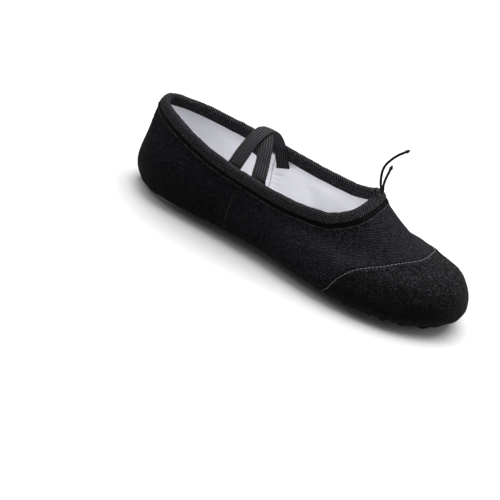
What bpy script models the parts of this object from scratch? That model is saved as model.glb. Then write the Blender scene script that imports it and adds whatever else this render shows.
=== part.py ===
"""Split-sole ballet slipper: one shoe, laid flat on its two sole patches.

Frame: +X towards the toe, +Z up, the shoe's long plane of symmetry is y = 0,
and the sole patches touch z = 0.  Tables are in millimetres; everything is
turned into metres when a mesh is made.
"""
import math

import bmesh
import bpy
import numpy as np

for old in list(bpy.data.objects):
    bpy.data.objects.remove(old, do_unlink=True)

MM = 0.001

# ---------------------------------------------------------------- dimensions
STATIONS = 40            # stations round the shoe
CLOTH = 1.0              # canvas and toe leather
LINING_TOP = -1.3        # lining, measured inwards from the outer face
LINING_LOW = -2.1
PAD_TOP, PAD_LOW = -2.4, -4.4          # thin foam pads under the lining feet
SEAM_GAP = 0.15          # half the gap between two sewn panels
EDGE_DROP = 3.2          # cut edge of the upper, below the top of the binding
TAPE_DROP = 9.2          # lower edge of the binding tape
SIDE_SEAM_X = -38.0      # vamp meets quarters
TOE_SEAM_TOP = 86.5      # toe cap seam at its foremost
TOE_SEAM_RUN = 40.0      # how far the seam runs back, 48 mm round from there
TOE_SEAM_SKEW = 6.0      # its foremost point lies this far to the left
STRING_R = 0.85          # drawstring radius
STRING_A, STRING_B = 1.9, -1.05        # its place inside the binding fold
SLIT_Y = 6.0             # the slit the string comes out of lies left of the middle
SLIT_HALF = 4.8          # its half length
STRAP_W, STRAP_T = 10.0, 1.1
# x at the near and far wall, and how much x changes per mm down each wall
STRAP_A = ((-45.0, -0.25), (-36.0, 0.40))
STRAP_B_RUN = ((-26.8, 0.34), (-51.0, -0.22))
SOLE_T = 1.6             # sole patch thickness
GROOVE_W, GROOVE_D = 1.2, 0.8          # stitch channel in a sole patch
THREAD_W = 0.6
ROW_INSETS = (4.0, 8.0)  # two stitch rows, inside the patch's edge

# Half-outlines from toe (0) to heel (1); x forwards, y half width, z height.
KEYS = [0, .06, .12, .19, .27, .36, .46, .56, .66, .76, .84, .90, .95, 1.0]
LOOPS = {
    "spine": dict(x=[62, 60, 57, 50, 38, 20, -5, -30, -55, -76, -84, -87, -88.5, -89],
                  y=[0] * 14, z=[2.2] * 14),
    "edge": dict(x=[111.5, 109, 101, 84, 56, 20, -5, -30, -55, -79, -99, -110.5, -116, -117.5],
                 y=[0, 10, 20.5, 30.5, 36, 31, 24.8, 22.4, 22.6, 23, 19.8, 13, 6.6, 0],
                 z=[3.8] * 14),
    "wide": dict(x=[121.5, 118.4, 108.6, 88, 57, 20, -5, -30, -55, -79, -101, -113.6, -120.3, -122],
                 y=[0, 12.3, 25, 37.2, 43, 40.8, 36.2, 33.2, 32, 30.6, 25.4, 15.8, 7.9, 0],
                 z=[13.5, 13.4, 13, 12.5, 12.5, 13, 13.5, 14, 14, 14, 14, 13.8, 13.6, 13.5]),
    "up1": dict(x=[112, 110, 101, 82.5, 54, 20, -5, -30, -55, -79, -101, -113, -118.7, -119.8],
                y=[0, 11.5, 22.5, 32.2, 37.8, 37.2, 34, 32.2, 31.2, 29, 22.6, 14.2, 7.1, 0],
                z=[33, 32, 29.4, 28, 27.8, 28.9, 30.2, 30.2, 31, 33, 35.4, 36.4, 37, 37.4]),
    "up2": dict(x=[79, 77.8, 73, 61, 43, 20, -5, -30, -55, -78.8, -99.8, -110.8, -115.8, -116.8],
                y=[0, 10.5, 18.4, 25, 28.3, 29.2, 29.9, 29.5, 27.4, 23.6, 17.1, 10.3, 4.9, 0],
                z=[38.8, 38.2, 37, 35.8, 35.6, 36.6, 37.7, 38.9, 41.3, 45.7, 49.7, 52.3, 54.2, 55.3]),
    "top": dict(x=[41.8, 41.1, 38.8, 34.6, 27.5, 19, -5, -30, -55, -78.7, -96.4, -106.4, -110.9, -112.2],
                y=[0, 8.8, 16, 21, 24.2, 26.8, 29.2, 29.2, 27.4, 22, 15.3, 9.6, 4.9, 0],
                z=[62.6, 61.8, 59.4, 56, 52.4, 50.4, 49.7, 51.6, 54, 57.9, 61.4, 63.2, 64.2, 64.4]),
}
LOOP_ORDER = ("spine", "edge", "wide", "up1", "up2", "top")


# ------------------------------------------------------------------- colours
def material(name, rgb, rough, metallic=0.0):
    m = bpy.data.materials.new(name)
    m.use_nodes = True
    b = m.node_tree.nodes["Principled BSDF"]
    b.inputs["Base Color"].default_value = (*rgb, 1.0)
    b.inputs["Roughness"].default_value = rough
    b.inputs["Metallic"].default_value = metallic
    m.diffuse_color = (*rgb, 1.0)
    return m


CANVAS = (0.016, 0.016, 0.019)
SUEDE = (0.030, 0.030, 0.033)
TAPE = (0.022, 0.022, 0.024)
ELASTIC = (0.020, 0.020, 0.022)
WHITE = (0.80, 0.80, 0.84)
SOLE = (0.74, 0.73, 0.74)
FOAM = (0.84, 0.83, 0.80)
THREAD_B = (0.035, 0.035, 0.038)
THREAD_G = (0.24, 0.24, 0.25)
CORD = (0.018, 0.018, 0.019)


# ------------------------------------------------------- the shoe's surface
def periodic_spline(keys, vals, u, period=2.0):
    """Cubic through the keys, closed on itself, with smooth curvature."""
    k = np.asarray(keys, float)
    v = np.asarray(vals, float)
    n = len(k)
    h = np.diff(np.append(k, k[0] + period))
    a = np.zeros((n, n))
    b = np.zeros((n, v.shape[1]))
    for i in range(n):
        hp, hn = h[i - 1], h[i]
        a[i, i - 1] += hp
        a[i, i] += 2 * (hp + hn)
        a[i, (i + 1) % n] += hn
        b[i] = 6 * ((v[(i + 1) % n] - v[i]) / hn - (v[i] - v[i - 1]) / hp)
    m = np.linalg.solve(a, b)
    u = np.mod(np.asarray(u, float) - k[0], period) + k[0]
    j = np.clip(np.searchsorted(k, u, side="right") - 1, 0, n - 1)
    q = (u - k[j])[:, None]
    hh = h[j][:, None]
    p = hh - q
    j2 = (j + 1) % n
    return ((m[j] * p ** 3 + m[j2] * q ** 3) / (6 * hh)
            + (v[j] / hh - m[j] * hh / 6) * p + (v[j2] / hh - m[j2] * hh / 6) * q)


def outlines(u):
    keys = list(KEYS) + [2 - s for s in KEYS[-2:0:-1]]
    order = [(i, -1) for i in range(14)] + [(i, 1) for i in range(12, 0, -1)]
    out = []
    for name in LOOP_ORDER:
        t = LOOPS[name]
        out.append(periodic_spline(keys, [(t["x"][i], s * t["y"][i], t["z"][i]) for i, s in order], u))
    return np.array(out)


def section_lines(ctrl, sub=40):
    """Centripetal curve through each station's six points, with arc length."""
    kk, nu, _ = ctrl.shape
    p = np.concatenate([2 * ctrl[:1] - ctrl[1:2], ctrl, 2 * ctrl[-1:] - ctrl[-2:-1]], 0)
    pts = []
    for i in range(kk - 1):
        p0, p1, p2, p3 = p[i], p[i + 1], p[i + 2], p[i + 3]

        def knot(a, b):
            return np.maximum(np.linalg.norm(b - a, axis=1), 1e-6) ** 0.5
        t0 = np.zeros(nu)
        t1 = t0 + knot(p0, p1)
        t2 = t1 + knot(p1, p2)
        t3 = t2 + knot(p2, p3)
        for k in range(sub + (1 if i == kk - 2 else 0)):
            t = t1 + (t2 - t1) * k / sub

            def mix(a, b, ta, tb):
                return ((tb - t) / (tb - ta))[:, None] * a + ((t - ta) / (tb - ta))[:, None] * b
            a1, a2, a3 = mix(p0, p1, t0, t1), mix(p1, p2, t1, t2), mix(p2, p3, t2, t3)
            pts.append(mix(mix(a1, a2, t0, t2), mix(a2, a3, t1, t3), t1, t2))
    q = np.array(pts)
    seg = np.linalg.norm(np.diff(q, axis=0), axis=2)
    arc = np.concatenate([np.zeros((1, nu)), np.cumsum(seg, 0)], 0)
    return q, arc


def rows_at(u, sub=40):
    """Rows of points from the middle of the sole to the top edge."""
    q, arc = section_lines(outlines(u), sub)
    total = arc[-1]
    edge, wide = arc[sub], arc[2 * sub]
    low, high = total - TAPE_DROP, total - EDGE_DROP
    want = [0 * total, edge * 0.5, edge, (edge + wide) / 2]
    want += [wide + (low - wide) * f for f in (0, 0.2, 0.4, 0.6, 0.8, 1.0)] + [high]
    out = np.zeros((len(want), len(u), 3))
    for r, w in enumerate(want):
        for j in range(len(u)):
            for c in range(3):
                out[r, j, c] = np.interp(w[j], arc[:, j], q[:, j, c])
    return out, total[None, :] - np.array(want)


def surface():
    n = STATIONS
    u = np.arange(n) * 2.0 / n
    base, drop = rows_at(u)
    e = 0.004
    du = rows_at(u + e)[0] - rows_at(u - e)[0]
    dv = np.zeros_like(base)
    dv[1:-1] = base[2:] - base[:-2]
    dv[0] = base[1] - base[0]
    dv[-1] = base[-1] - base[-2]
    nrm = np.cross(dv, du)
    nrm /= np.maximum(np.linalg.norm(nrm, axis=2), 1e-9)[..., None]
    centre = np.stack([np.clip(base[..., 0], -80, 70), 0 * base[..., 0], 0 * base[..., 0] + 25], -1)
    flip = ((base - centre) * nrm).sum(-1) < 0
    nrm[flip] *= -1
    nrm[0] = (0, 0, -1)
    return base, nrm, drop


BASE, NRM, DROP = surface()
ROWS = BASE.shape[0]
HEEL_THREAD = 0.9
SHIFT_X = -0.5 * (BASE[..., 0].max() + BASE[..., 0].min() - HEEL_THREAD)
BASE[..., 0] += SHIFT_X


def toe_seam(p):
    """Positive in front of the toe cap seam."""
    y = p[:, 1] - TOE_SEAM_SKEW
    low = 13.0 - p[:, 2]
    far = y - 14.0
    w = np.where(y > 0, 0.9 * (far + np.sqrt(far * far + 9.0) - 0.318), -y)
    w = w + 0.55 * (low + np.sqrt(low * low + 4.0))
    return p[:, 0] - SHIFT_X - (TOE_SEAM_TOP - TOE_SEAM_RUN * (w / 48.0) ** 1.8)


def side_seam(p):
    """Positive in front of the side seams."""
    return p[:, 0] - SHIFT_X - SIDE_SEAM_X


# ---------------------------------------------------- cutting cloth to shape
def cloth_grid():
    """Vertices as (x y z, normal, drop below top, row) and outward triangles."""
    n = STATIONS
    verts, ident = [], {}

    def vid(k, r):
        k %= n
        if r == 0:
            k = min(k, (n - k) % n) if k else 0
        key = (k, r)
        if key not in ident:
            ident[key] = len(verts)
            verts.append(np.concatenate([BASE[r, k], NRM[r, k], [DROP[r, k], r]]))
        return ident[key]

    faces = []
    for k in range(n):
        for r in range(ROWS - 1):
            a, b, c, d = vid(k, r), vid(k + 1, r), vid(k + 1, r + 1), vid(k, r + 1)
            if (k < n // 2 - 1) or k == n // 2:
                faces += [(a, b, c), (a, c, d)]
            else:
                faces += [(a, b, d), (b, c, d)]
    return np.array(verts), [f for f in faces if len(set(f)) == 3]


def clip(verts, faces, g):
    """Keep the part of the cloth where g is above zero."""
    val = g(verts)
    val = np.where(np.abs(val) < 1e-6, 1e-6, val)
    new, made, out = [v for v in verts], {}, []
    for f in faces:
        poly = []
        for i, a in enumerate(f):
            b = f[(i + 1) % len(f)]
            if val[a] > 0:
                poly.append(a)
            if (val[a] > 0) != (val[b] > 0):
                key = (min(a, b), max(a, b))
                if key not in made:
                    lo, hi = key
                    t = val[lo] / (val[lo] - val[hi])
                    made[key] = len(new)
                    new.append(verts[lo] * (1 - t) + verts[hi] * t)
                poly.append(made[key])
        if len(poly) >= 3:
            out.append(tuple(poly))
    return np.array(new), out


def put(name, verts, faces, mat, smooth=True, angle=0.7):
    me = bpy.data.meshes.new(name)
    bm = bmesh.new()
    vs = [bm.verts.new((v[0] * MM, v[1] * MM, v[2] * MM)) for v in verts]
    for f in faces:
        bm.faces.new([vs[i] for i in f])
    bmesh.ops.recalc_face_normals(bm, faces=bm.faces)
    bm.to_mesh(me)
    volume = bm.calc_volume(signed=True)
    if volume < 0:
        for f in bm.faces:
            f.normal_flip()
        bm.to_mesh(me)
    bm.free()
    if smooth:
        me.shade_smooth()
        me.set_sharp_from_angle(angle=angle)
    ob = bpy.data.objects.new(name, me)
    ob.data.materials.append(material(name + "_mat", *mat))
    bpy.context.scene.collection.objects.link(ob)
    return ob


GRID = cloth_grid()


def cut_cloth(name, cuts, outer, inner, mat):
    """A sewn panel: the shoe's surface cut by each rule, given a thickness."""
    v, f = GRID
    for g in cuts:
        v, f = clip(v, f, g)
    used = sorted({i for face in f for i in face})
    index = {old: i for i, old in enumerate(used)}
    v = v[used]
    f = [tuple(index[i] for i in face) for face in f]
    n = len(v)
    top = v[:, :3] + v[:, 3:6] * outer
    low = v[:, :3] + v[:, 3:6] * inner
    faces = list(f) + [tuple(n + i for i in reversed(face)) for face in f]
    edges = {}
    for face in f:
        for i, a in enumerate(face):
            b = face[(i + 1) % len(face)]
            edges[(a, b)] = edges.get((a, b), 0) + 1
    for (a, b) in edges:
        if (b, a) not in edges:
            faces.append((b, a, n + a, n + b))
    return put(name, np.concatenate([top, low]), faces, mat)


def ahead(g, gap=SEAM_GAP):
    return lambda v: g(v[:, :3]) - gap


def behind(g, gap=SEAM_GAP):
    return lambda v: -g(v[:, :3]) - gap


def left(gap=SEAM_GAP):
    return lambda v: v[:, 1] - gap


def right(gap=SEAM_GAP):
    return lambda v: -v[:, 1] - gap


cut_cloth("toe_cap", [ahead(toe_seam)], 0.0, -CLOTH, (SUEDE, 0.9))
cut_cloth("vamp_canvas", [behind(toe_seam), ahead(side_seam)], 0.0, -CLOTH, (CANVAS, 0.85))
cut_cloth("quarter_left", [behind(side_seam), left()], 0.0, -CLOTH, (CANVAS, 0.85))
cut_cloth("quarter_right", [behind(side_seam), right()], 0.0, -CLOTH, (CANVAS, 0.85))
cut_cloth("vamp_lining", [ahead(side_seam)], LINING_TOP, LINING_LOW, (WHITE, 0.9))
cut_cloth("quarter_lining_left", [behind(side_seam), left()], LINING_TOP, LINING_LOW, (WHITE, 0.9))
cut_cloth("quarter_lining_right", [behind(side_seam), right()], LINING_TOP, LINING_LOW, (WHITE, 0.9))


# ----------------------------------------------------- pads inside the shoe
def row_below(limit):
    return lambda v: limit - v[:, 7]


cut_cloth("forefoot_insole", [row_below(1.75), lambda v: v[:, 0] - 24.0], PAD_TOP, PAD_LOW, (FOAM, 0.8))
cut_cloth("heel_insole", [row_below(1.75), lambda v: -60.0 - v[:, 0]], PAD_TOP, PAD_LOW, (FOAM, 0.8))


# --------------------------------------------------------- stitched seams
def band(g, half=0.4):
    return [lambda v: g(v[:, :3]) + half, lambda v: half - g(v[:, :3])]


def across(p):
    return p[:, 1]


UP = [lambda v: v[:, 2] - 4.6]
BELOW_TAPE = [lambda v: v[:, 6] - 11.4]
SEW = (0.3, 0.9)
cut_cloth("toe_cap_seam_thread", band(toe_seam) + UP, *SEW, (THREAD_G, 0.7))
cut_cloth("side_seam_stitching_left", band(side_seam) + UP + BELOW_TAPE + [left(1.0)], *SEW, (THREAD_B, 0.7))
cut_cloth("side_seam_stitching_right", band(side_seam) + UP + BELOW_TAPE + [right(1.0)], *SEW, (THREAD_B, 0.7))
cut_cloth("heel_seam_stitching", band(across) + UP + BELOW_TAPE + [lambda v: -100.0 - v[:, 0]],
          0.3, HEEL_THREAD, (THREAD_B, 0.7))
cut_cloth("arch_seam_stitching", band(across) + [lambda v: v[:, 0] + 56.0, lambda v: 22.0 - v[:, 0],
                                                 lambda v: 12.0 - v[:, 2]], *SEW, (THREAD_B, 0.7))
cut_cloth("binding_stitching", [lambda v: v[:, 6] - 9.75, lambda v: 10.45 - v[:, 6],
                                lambda v: v[:, 2] - 20.0], *SEW, (THREAD_B, 0.7))


# ------------------------------------------------------------ binding tape
P_LOW, P_HIGH = BASE[ROWS - 2], BASE[ROWS - 1]
N_LOW, N_HIGH = NRM[ROWS - 2], NRM[ROWS - 1]
SPAN = TAPE_DROP - EDGE_DROP


def at_drop(k, a, b):
    """Point a millimetres below the top at station k (a float), b outwards."""
    k0 = int(math.floor(k))
    f = k - k0
    res = np.zeros(3)
    for kk, w in ((k0 % STATIONS, 1 - f), ((k0 + 1) % STATIONS, f)):
        if w <= 0:
            continue
        t = (TAPE_DROP - a) / SPAN
        p = P_LOW[kk] + (P_HIGH[kk] - P_LOW[kk]) * t
        tt = min(max(t, 0.0), 1.0)
        n = N_LOW[kk] * (1 - tt) + N_HIGH[kk] * tt
        res += w * (p + n * b)
    return res


FOLD = [(9.0, 1.2), (3.5, 1.2), (1.5, 1.0), (0.4, 0.2), (-0.1, -1.05), (0.4, -2.3), (1.5, -3.1),
        (3.5, -3.3), (8.0, -3.3), (8.0, -2.45), (3.5, -2.45), (1.6, -2.2), (0.8, -1.6), (0.7, -1.05),
        (0.8, -0.5), (1.6, 0.1), (3.5, 0.32), (9.0, 0.32)]


def ring_solid(name, sections, mat, closed=True):
    """Loft a closed section along a closed or open row of stations."""
    m = len(sections[0])
    verts = [p for s in sections for p in s]
    faces = []
    ns = len(sections)
    for i in range(ns if closed else ns - 1):
        j = (i + 1) % ns
        for c in range(m):
            d = (c + 1) % m
            faces.append((i * m + c, j * m + c, j * m + d))
            faces.append((i * m + c, j * m + d, i * m + d))
    if not closed:
        faces.append(tuple(range(m)))
        faces.append(tuple((ns - 1) * m + c for c in reversed(range(m))))
    return put(name, verts, faces, mat)


binding = ring_solid("top_binding", [[at_drop(k, a, b) for a, b in FOLD] for k in range(STATIONS)],
                     (TAPE, 0.8))

# The slit at the throat, in the outer side of the fold, where both ends of the
# drawstring come out.
def channel_table():
    ks = np.linspace(-7.0, 7.0, 1401)
    pts = np.array([at_drop(k, STRING_A, STRING_B) for k in ks])
    run = np.concatenate([[0], np.cumsum(np.linalg.norm(np.diff(pts, axis=0), axis=1))])
    return ks, run, float(np.interp(-SLIT_Y, -pts[:, 1], run))


CHANNEL = channel_table()


def channel(d, side):
    """Station (float) d along the string's channel from the slit's middle."""
    ks, run, mid = CHANNEL
    return float(np.interp(mid - side * d, run, ks)) % STATIONS


K_SLIT = channel(0.0, 1)
T_HAT = at_drop(K_SLIT, 0.0, 0.0) - at_drop(K_SLIT, 5.0, 0.0)
T_HAT /= np.linalg.norm(T_HAT)
N_HAT = at_drop(K_SLIT, STRING_A, 1.0) - at_drop(K_SLIT, STRING_A, 0.0)
N_HAT /= np.linalg.norm(N_HAT)
C0 = at_drop(K_SLIT, STRING_A, STRING_B)


def slit_block(name):
    ks = sorted([channel(SLIT_HALF, 1), channel(SLIT_HALF * 0.7, 1), float(round(K_SLIT)), K_SLIT,
                 channel(SLIT_HALF * 0.5, -1), channel(SLIT_HALF, -1)])
    sec = [[at_drop(k, a, b) for a, b in ((2.95, -0.9), (0.9, -0.9), (0.9, 2.2), (2.95, 2.2))] for k in ks]
    return ring_solid(name, sec, (TAPE, 0.8), closed=False)


cutter = slit_block("slit_cutter")
cutter.hide_render = True
cutter.display_type = 'WIRE'
cut = binding.modifiers.new("slit", 'BOOLEAN')
cut.operation = 'DIFFERENCE'
cut.object = cutter


# --------------------------------------------------------------- drawstring
def smooth_path(points, count):
    """Natural cubic through the points, resampled evenly by length."""
    p = np.array(points, float)
    d = np.concatenate([[0], np.cumsum(np.linalg.norm(np.diff(p, axis=0), axis=1))])
    n = len(p)
    h = np.diff(d)
    a = np.eye(n)
    b = np.zeros((n, 3))
    for i in range(1, n - 1):
        a[i, i - 1], a[i, i], a[i, i + 1] = h[i - 1], 2 * (h[i - 1] + h[i]), h[i]
        b[i] = 6 * ((p[i + 1] - p[i]) / h[i] - (p[i] - p[i - 1]) / h[i - 1])
    m = np.linalg.solve(a, b)
    s = np.linspace(0, d[-1], 600)
    j = np.clip(np.searchsorted(d, s, side="right") - 1, 0, n - 2)
    q = (s - d[j])[:, None]
    hh = h[j][:, None]
    r = hh - q
    c = ((m[j] * r ** 3 + m[j + 1] * q ** 3) / (6 * hh)
         + (p[j] / hh - m[j] * hh / 6) * r + (p[j + 1] / hh - m[j + 1] * hh / 6) * q)
    e = np.concatenate([[0], np.cumsum(np.linalg.norm(np.diff(c, axis=0), axis=1))])
    want = np.linspace(0, e[-1], count)
    return np.stack([np.interp(want, e, c[:, i]) for i in range(3)], 1), e[-1]


def cord(name, points, radius=STRING_R):
    cu = bpy.data.curves.new(name, 'CURVE')
    cu.dimensions = '3D'
    cu.bevel_depth = radius * MM
    cu.bevel_resolution = 2
    cu.use_fill_caps = True
    sp = cu.splines.new('POLY')
    sp.points.add(len(points) - 1)
    for i, p in enumerate(points):
        sp.points[i].co = (p[0] * MM, p[1] * MM, p[2] * MM, 1.0)
    ob = bpy.data.objects.new(name, cu)
    cu.materials.append(material(name + "_mat", CORD, 0.8))
    bpy.context.scene.collection.objects.link(ob)
    return ob


LONG_HIDDEN, SHORT_HIDDEN = 13.2, 13.2      # length of each tail still in the fold
k_long = channel(LONG_HIDDEN + 0.3, 1)
k_short = channel(SHORT_HIDDEN + 0.3, -1)
loop = [at_drop(k_short, STRING_A, STRING_B)]
loop += [at_drop(k, STRING_A, STRING_B) for k in range(int(math.ceil(k_short + 0.3)),
                                                      int(math.floor(k_long - 0.3)) + 1)]
loop += [at_drop(k_long, STRING_A, STRING_B)]
cord("drawstring", loop)


def tail_route(side, free):
    """Along the channel, round a small bend, out through the slit, then free."""
    pts = [at_drop(channel(y, side), STRING_A, STRING_B) for y in (13.2, 10.6, 8.0, 5.6)]
    y0, r = 4.2, 2.6
    for deg in (15, 40, 65, 90):
        a = math.radians(deg)
        y = y0 - r * math.sin(a)
        pts.append(at_drop(channel(y, side), STRING_A, STRING_B) + N_HAT * (r * (1 - math.cos(a))))
    return pts + [np.array(p) + np.array([SHIFT_X, 0, 0]) for p in free]


LONG_FREE = [(43.9, 5.1, 64.0), (42.6, 4.9, 67.2), (41.3, 4.7, 71.2), (40.5, 4.6, 75.4), (40.3, 4.6, 78.4),
             (41.1, 4.6, 83.0), (43.3, 4.6, 87.6), (46.3, 4.6, 92.1), (50.0, 4.6, 96.2)]
SHORT_FREE = [(43.9, 8.0, 63.6), (43.4, 7.8, 66.0), (43.1, 7.6, 69.0), (43.3, 7.4, 73.4), (44.0, 7.4, 79.4)]
long_pts, LONG_LEN = smooth_path(tail_route(-1, LONG_FREE), 27)
short_pts, SHORT_LEN = smooth_path(tail_route(1, SHORT_FREE), 20)
cord("drawstring_tail_long", long_pts)
cord("drawstring_tail_short", short_pts)


def knot(name, points):
    """A small overhand knot, rounder than the cord and turned along it."""
    d = points[-1] - points[-2]
    d /= np.linalg.norm(d)
    c = points[-1] + d * (0.3 + 1.75)
    bm = bmesh.new()
    bmesh.ops.create_icosphere(bm, subdivisions=2, radius=1.0)
    ref = np.array([0.0, 1.0, 0.0])
    u = np.cross(d, ref)
    u /= np.linalg.norm(u)
    w = np.cross(d, u)
    verts = []
    for v in bm.verts:
        verts.append(c + d * v.co.z * 1.75 + u * v.co.x * 1.45 + w * v.co.y * 1.45)
    faces = [[v.index for v in f.verts] for f in bm.faces]
    bm.free()
    put(name, verts, faces, (CORD, 0.8))


knot("tail_knot_long", long_pts)
knot("tail_knot_short", short_pts)


# ------------------------------------------------------------ sole patches
def egg(x_toe, x_heel, half_w, blunt, count=36):
    """Egg-shaped outline: widest nearer the toe end for blunt above zero."""
    pts = []
    cx, a = (x_toe + x_heel) / 2, (x_toe - x_heel) / 2
    for i in range(count):
        t = 2 * math.pi * i / count
        c, s = math.cos(t), math.sin(t)
        pts.append((cx + a * c, half_w * s * (1 + blunt * c - 0.5 * blunt * blunt * (1 - c * c))))
    return np.array(pts)


def inset_outline(pts, d):
    tan = np.roll(pts, -1, 0) - np.roll(pts, 1, 0)
    tan /= np.linalg.norm(tan, axis=1)[:, None]
    return pts + np.stack([-tan[:, 1], tan[:, 0]], 1) * d


def sole_patch(name, outline, mat):
    """Flat patch with two stitch channels cut into its lower face."""
    g = GROOVE_W / 2
    prof = [(0.5, 0.0)]
    for d in ROW_INSETS:
        prof += [(d - g, 0.0), (d - g, GROOVE_D), (d + g, GROOVE_D), (d + g, 0.0)]
    prof = [(0.5, SOLE_T), (0.0, SOLE_T - 0.5), (0.0, 0.4)] + prof
    n = len(outline)
    verts, faces = [], []
    for d, z in prof:
        ring = inset_outline(outline, d)
        verts += [(x, y, z) for x, y in ring]
    for r in range(len(prof) - 1):
        for i in range(n):
            j = (i + 1) % n
            faces.append((r * n + i, r * n + j, (r + 1) * n + j, (r + 1) * n + i))
    faces.append(tuple(range(n)))
    last = (len(prof) - 1) * n
    faces.append(tuple(last + i for i in reversed(range(n))))
    return put(name, verts, faces, mat)


def stitch_ring(name, outline, inset, mat):
    w = THREAD_W / 2
    sec = []
    outer, inner = inset_outline(outline, inset - w), inset_outline(outline, inset + w)
    for p, q in zip(outer, inner):
        sec.append([(p[0], p[1], 0.06), (p[0], p[1], 0.46), (q[0], q[1], 0.46), (q[0], q[1], 0.06)])
    return ring_solid(name, sec, mat)


FORE = egg(98.0 + SHIFT_X, 27.0 + SHIFT_X, 28.0, 0.13)
HEEL = egg(-62.0 + SHIFT_X, -108.0 + SHIFT_X, 18.6, -0.02)
sole_patch("forefoot_sole", FORE, (SOLE, 0.9))
sole_patch("heel_sole", HEEL, (SOLE, 0.9))
stitch_ring("forefoot_sole_stitch_outer", FORE, ROW_INSETS[0], (THREAD_G, 0.7))
stitch_ring("forefoot_sole_stitch_inner", FORE, ROW_INSETS[1], (THREAD_G, 0.7))
stitch_ring("heel_sole_stitch_outer", HEEL, ROW_INSETS[0], (THREAD_G, 0.7))
stitch_ring("heel_sole_stitch_inner", HEEL, ROW_INSETS[1], (THREAD_G, 0.7))


# ------------------------------------------------- crossed instep elastics
def wall_station(x, side):
    """Station (float) on one side whose top is at this x."""
    lo, hi = 3.5, STATIONS / 2 - 1.5
    for _ in range(50):
        mid = (lo + hi) / 2
        if at_drop(mid, 2.0, 0)[0] > x:
            lo = mid
        else:
            hi = mid
    return lo if side < 0 else STATIONS - lo


STRAP_B = -5.4           # middle of the elastic, inwards from the wall
TAB_B = (-3.65, -4.15)   # its sewn end lies between the strap and the wall


def strap_section(c, width_dir, normal):
    w, t = STRAP_W / 2, STRAP_T / 2
    out = []
    for sw, sn in ((-1, -0.4), (-0.94, -1), (0.94, -1), (1, -0.4), (1, 0.4), (0.94, 1), (-0.94, 1), (-1, 0.4)):
        out.append(c + width_dir * w * sw + normal * t * sn)
    return out


RISE = 18.8


def elastic(name, runs, under):
    """A flat elastic from the near wall up, over the instep and down."""
    ends = []
    for (x, slant), side in zip(runs, (-1, 1)):
        ends.append((at_drop(wall_station(x + 3.0 * slant + SHIFT_X, side), 3.0, STRAP_B),
                     at_drop(wall_station(x + SHIFT_X, side), 0.0, STRAP_B)))
    (n0, n1), (f0, f1) = ends
    path = [n0, n1]
    half = (f1[1] - n1[1]) / 2
    for deg in range(15, 180, 15):
        t = -math.cos(math.radians(deg))
        p = n1 + (f1 - n1) * (t + 1) / 2
        slope = -RISE * 1.9 * math.copysign(abs(t) ** 0.9, t) / half
        fade = min(max((abs(t) - 0.72) / 0.28, 0.0), 1.0)
        drop = under * (1 - fade * fade * (3 - 2 * fade)) / math.hypot(1.0, slope)
        path.append(np.array([p[0], p[1] + drop * slope, p[2] + RISE * (1 - abs(t) ** 1.9) - drop]))
    path += [f1, f0]
    line, _ = smooth_path(path, 23)
    sections = []
    for i, p in enumerate(line):
        a, b = line[max(i - 1, 0)], line[min(i + 1, len(line) - 1)]
        t = (b - a) / np.linalg.norm(b - a)
        # the ribbon's width lies along the shoe, square to its own run
        lay = np.array([1.0, 0, 0]) - t * t[0]
        lay /= np.linalg.norm(lay)
        nn = np.cross(lay, t)
        nn /= np.linalg.norm(nn)
        sections.append(strap_section(p, lay, nn))
    return ring_solid(name, sections, (ELASTIC, 0.75), closed=False)


elastic("strap_a", STRAP_A, 0.0)
elastic("strap_b", STRAP_B_RUN, 1.75)


def tab(name, run, side):
    """The sewn end of an elastic, flat on the inside of the wall, in line with its run."""
    x, slant = run
    sec = []
    for off in (-5.0, -3.3, -1.7, 0.0, 1.7, 3.3, 5.0):
        sec.append([at_drop(wall_station(x + off + slant * a + SHIFT_X, side), a, b)
                    for a, b in ((1.6, TAB_B[0]), (1.6, TAB_B[1]), (8.4, TAB_B[1]), (13.6, TAB_B[1]),
                                 (13.6, TAB_B[0]), (8.4, TAB_B[0]))])
    return ring_solid(name, sec, (ELASTIC, 0.75), closed=False)


tab("strap_a_end_near", STRAP_A[0], -1)
tab("strap_a_end_far", STRAP_A[1], 1)
tab("strap_b_end_near", STRAP_B_RUN[0], -1)
tab("strap_b_end_far", STRAP_B_RUN[1], 1)
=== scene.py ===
import math

import bpy
import numpy as np
from mathutils import Matrix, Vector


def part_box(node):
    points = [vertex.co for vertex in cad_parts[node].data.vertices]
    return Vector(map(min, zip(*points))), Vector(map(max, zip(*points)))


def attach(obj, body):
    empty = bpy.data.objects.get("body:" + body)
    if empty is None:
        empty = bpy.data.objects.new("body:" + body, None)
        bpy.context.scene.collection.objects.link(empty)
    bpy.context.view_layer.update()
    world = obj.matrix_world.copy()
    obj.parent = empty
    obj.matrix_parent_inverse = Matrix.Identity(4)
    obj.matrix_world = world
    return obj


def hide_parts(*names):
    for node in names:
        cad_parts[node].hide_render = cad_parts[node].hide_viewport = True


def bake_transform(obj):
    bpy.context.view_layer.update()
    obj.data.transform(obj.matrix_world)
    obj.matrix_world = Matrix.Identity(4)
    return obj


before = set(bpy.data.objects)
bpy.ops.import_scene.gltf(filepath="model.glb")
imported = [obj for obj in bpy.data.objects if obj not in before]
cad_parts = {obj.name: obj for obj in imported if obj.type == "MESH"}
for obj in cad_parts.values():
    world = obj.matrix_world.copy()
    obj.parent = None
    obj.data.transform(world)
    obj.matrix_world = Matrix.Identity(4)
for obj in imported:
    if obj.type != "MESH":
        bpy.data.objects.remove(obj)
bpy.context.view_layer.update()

MM = 0.001

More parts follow.
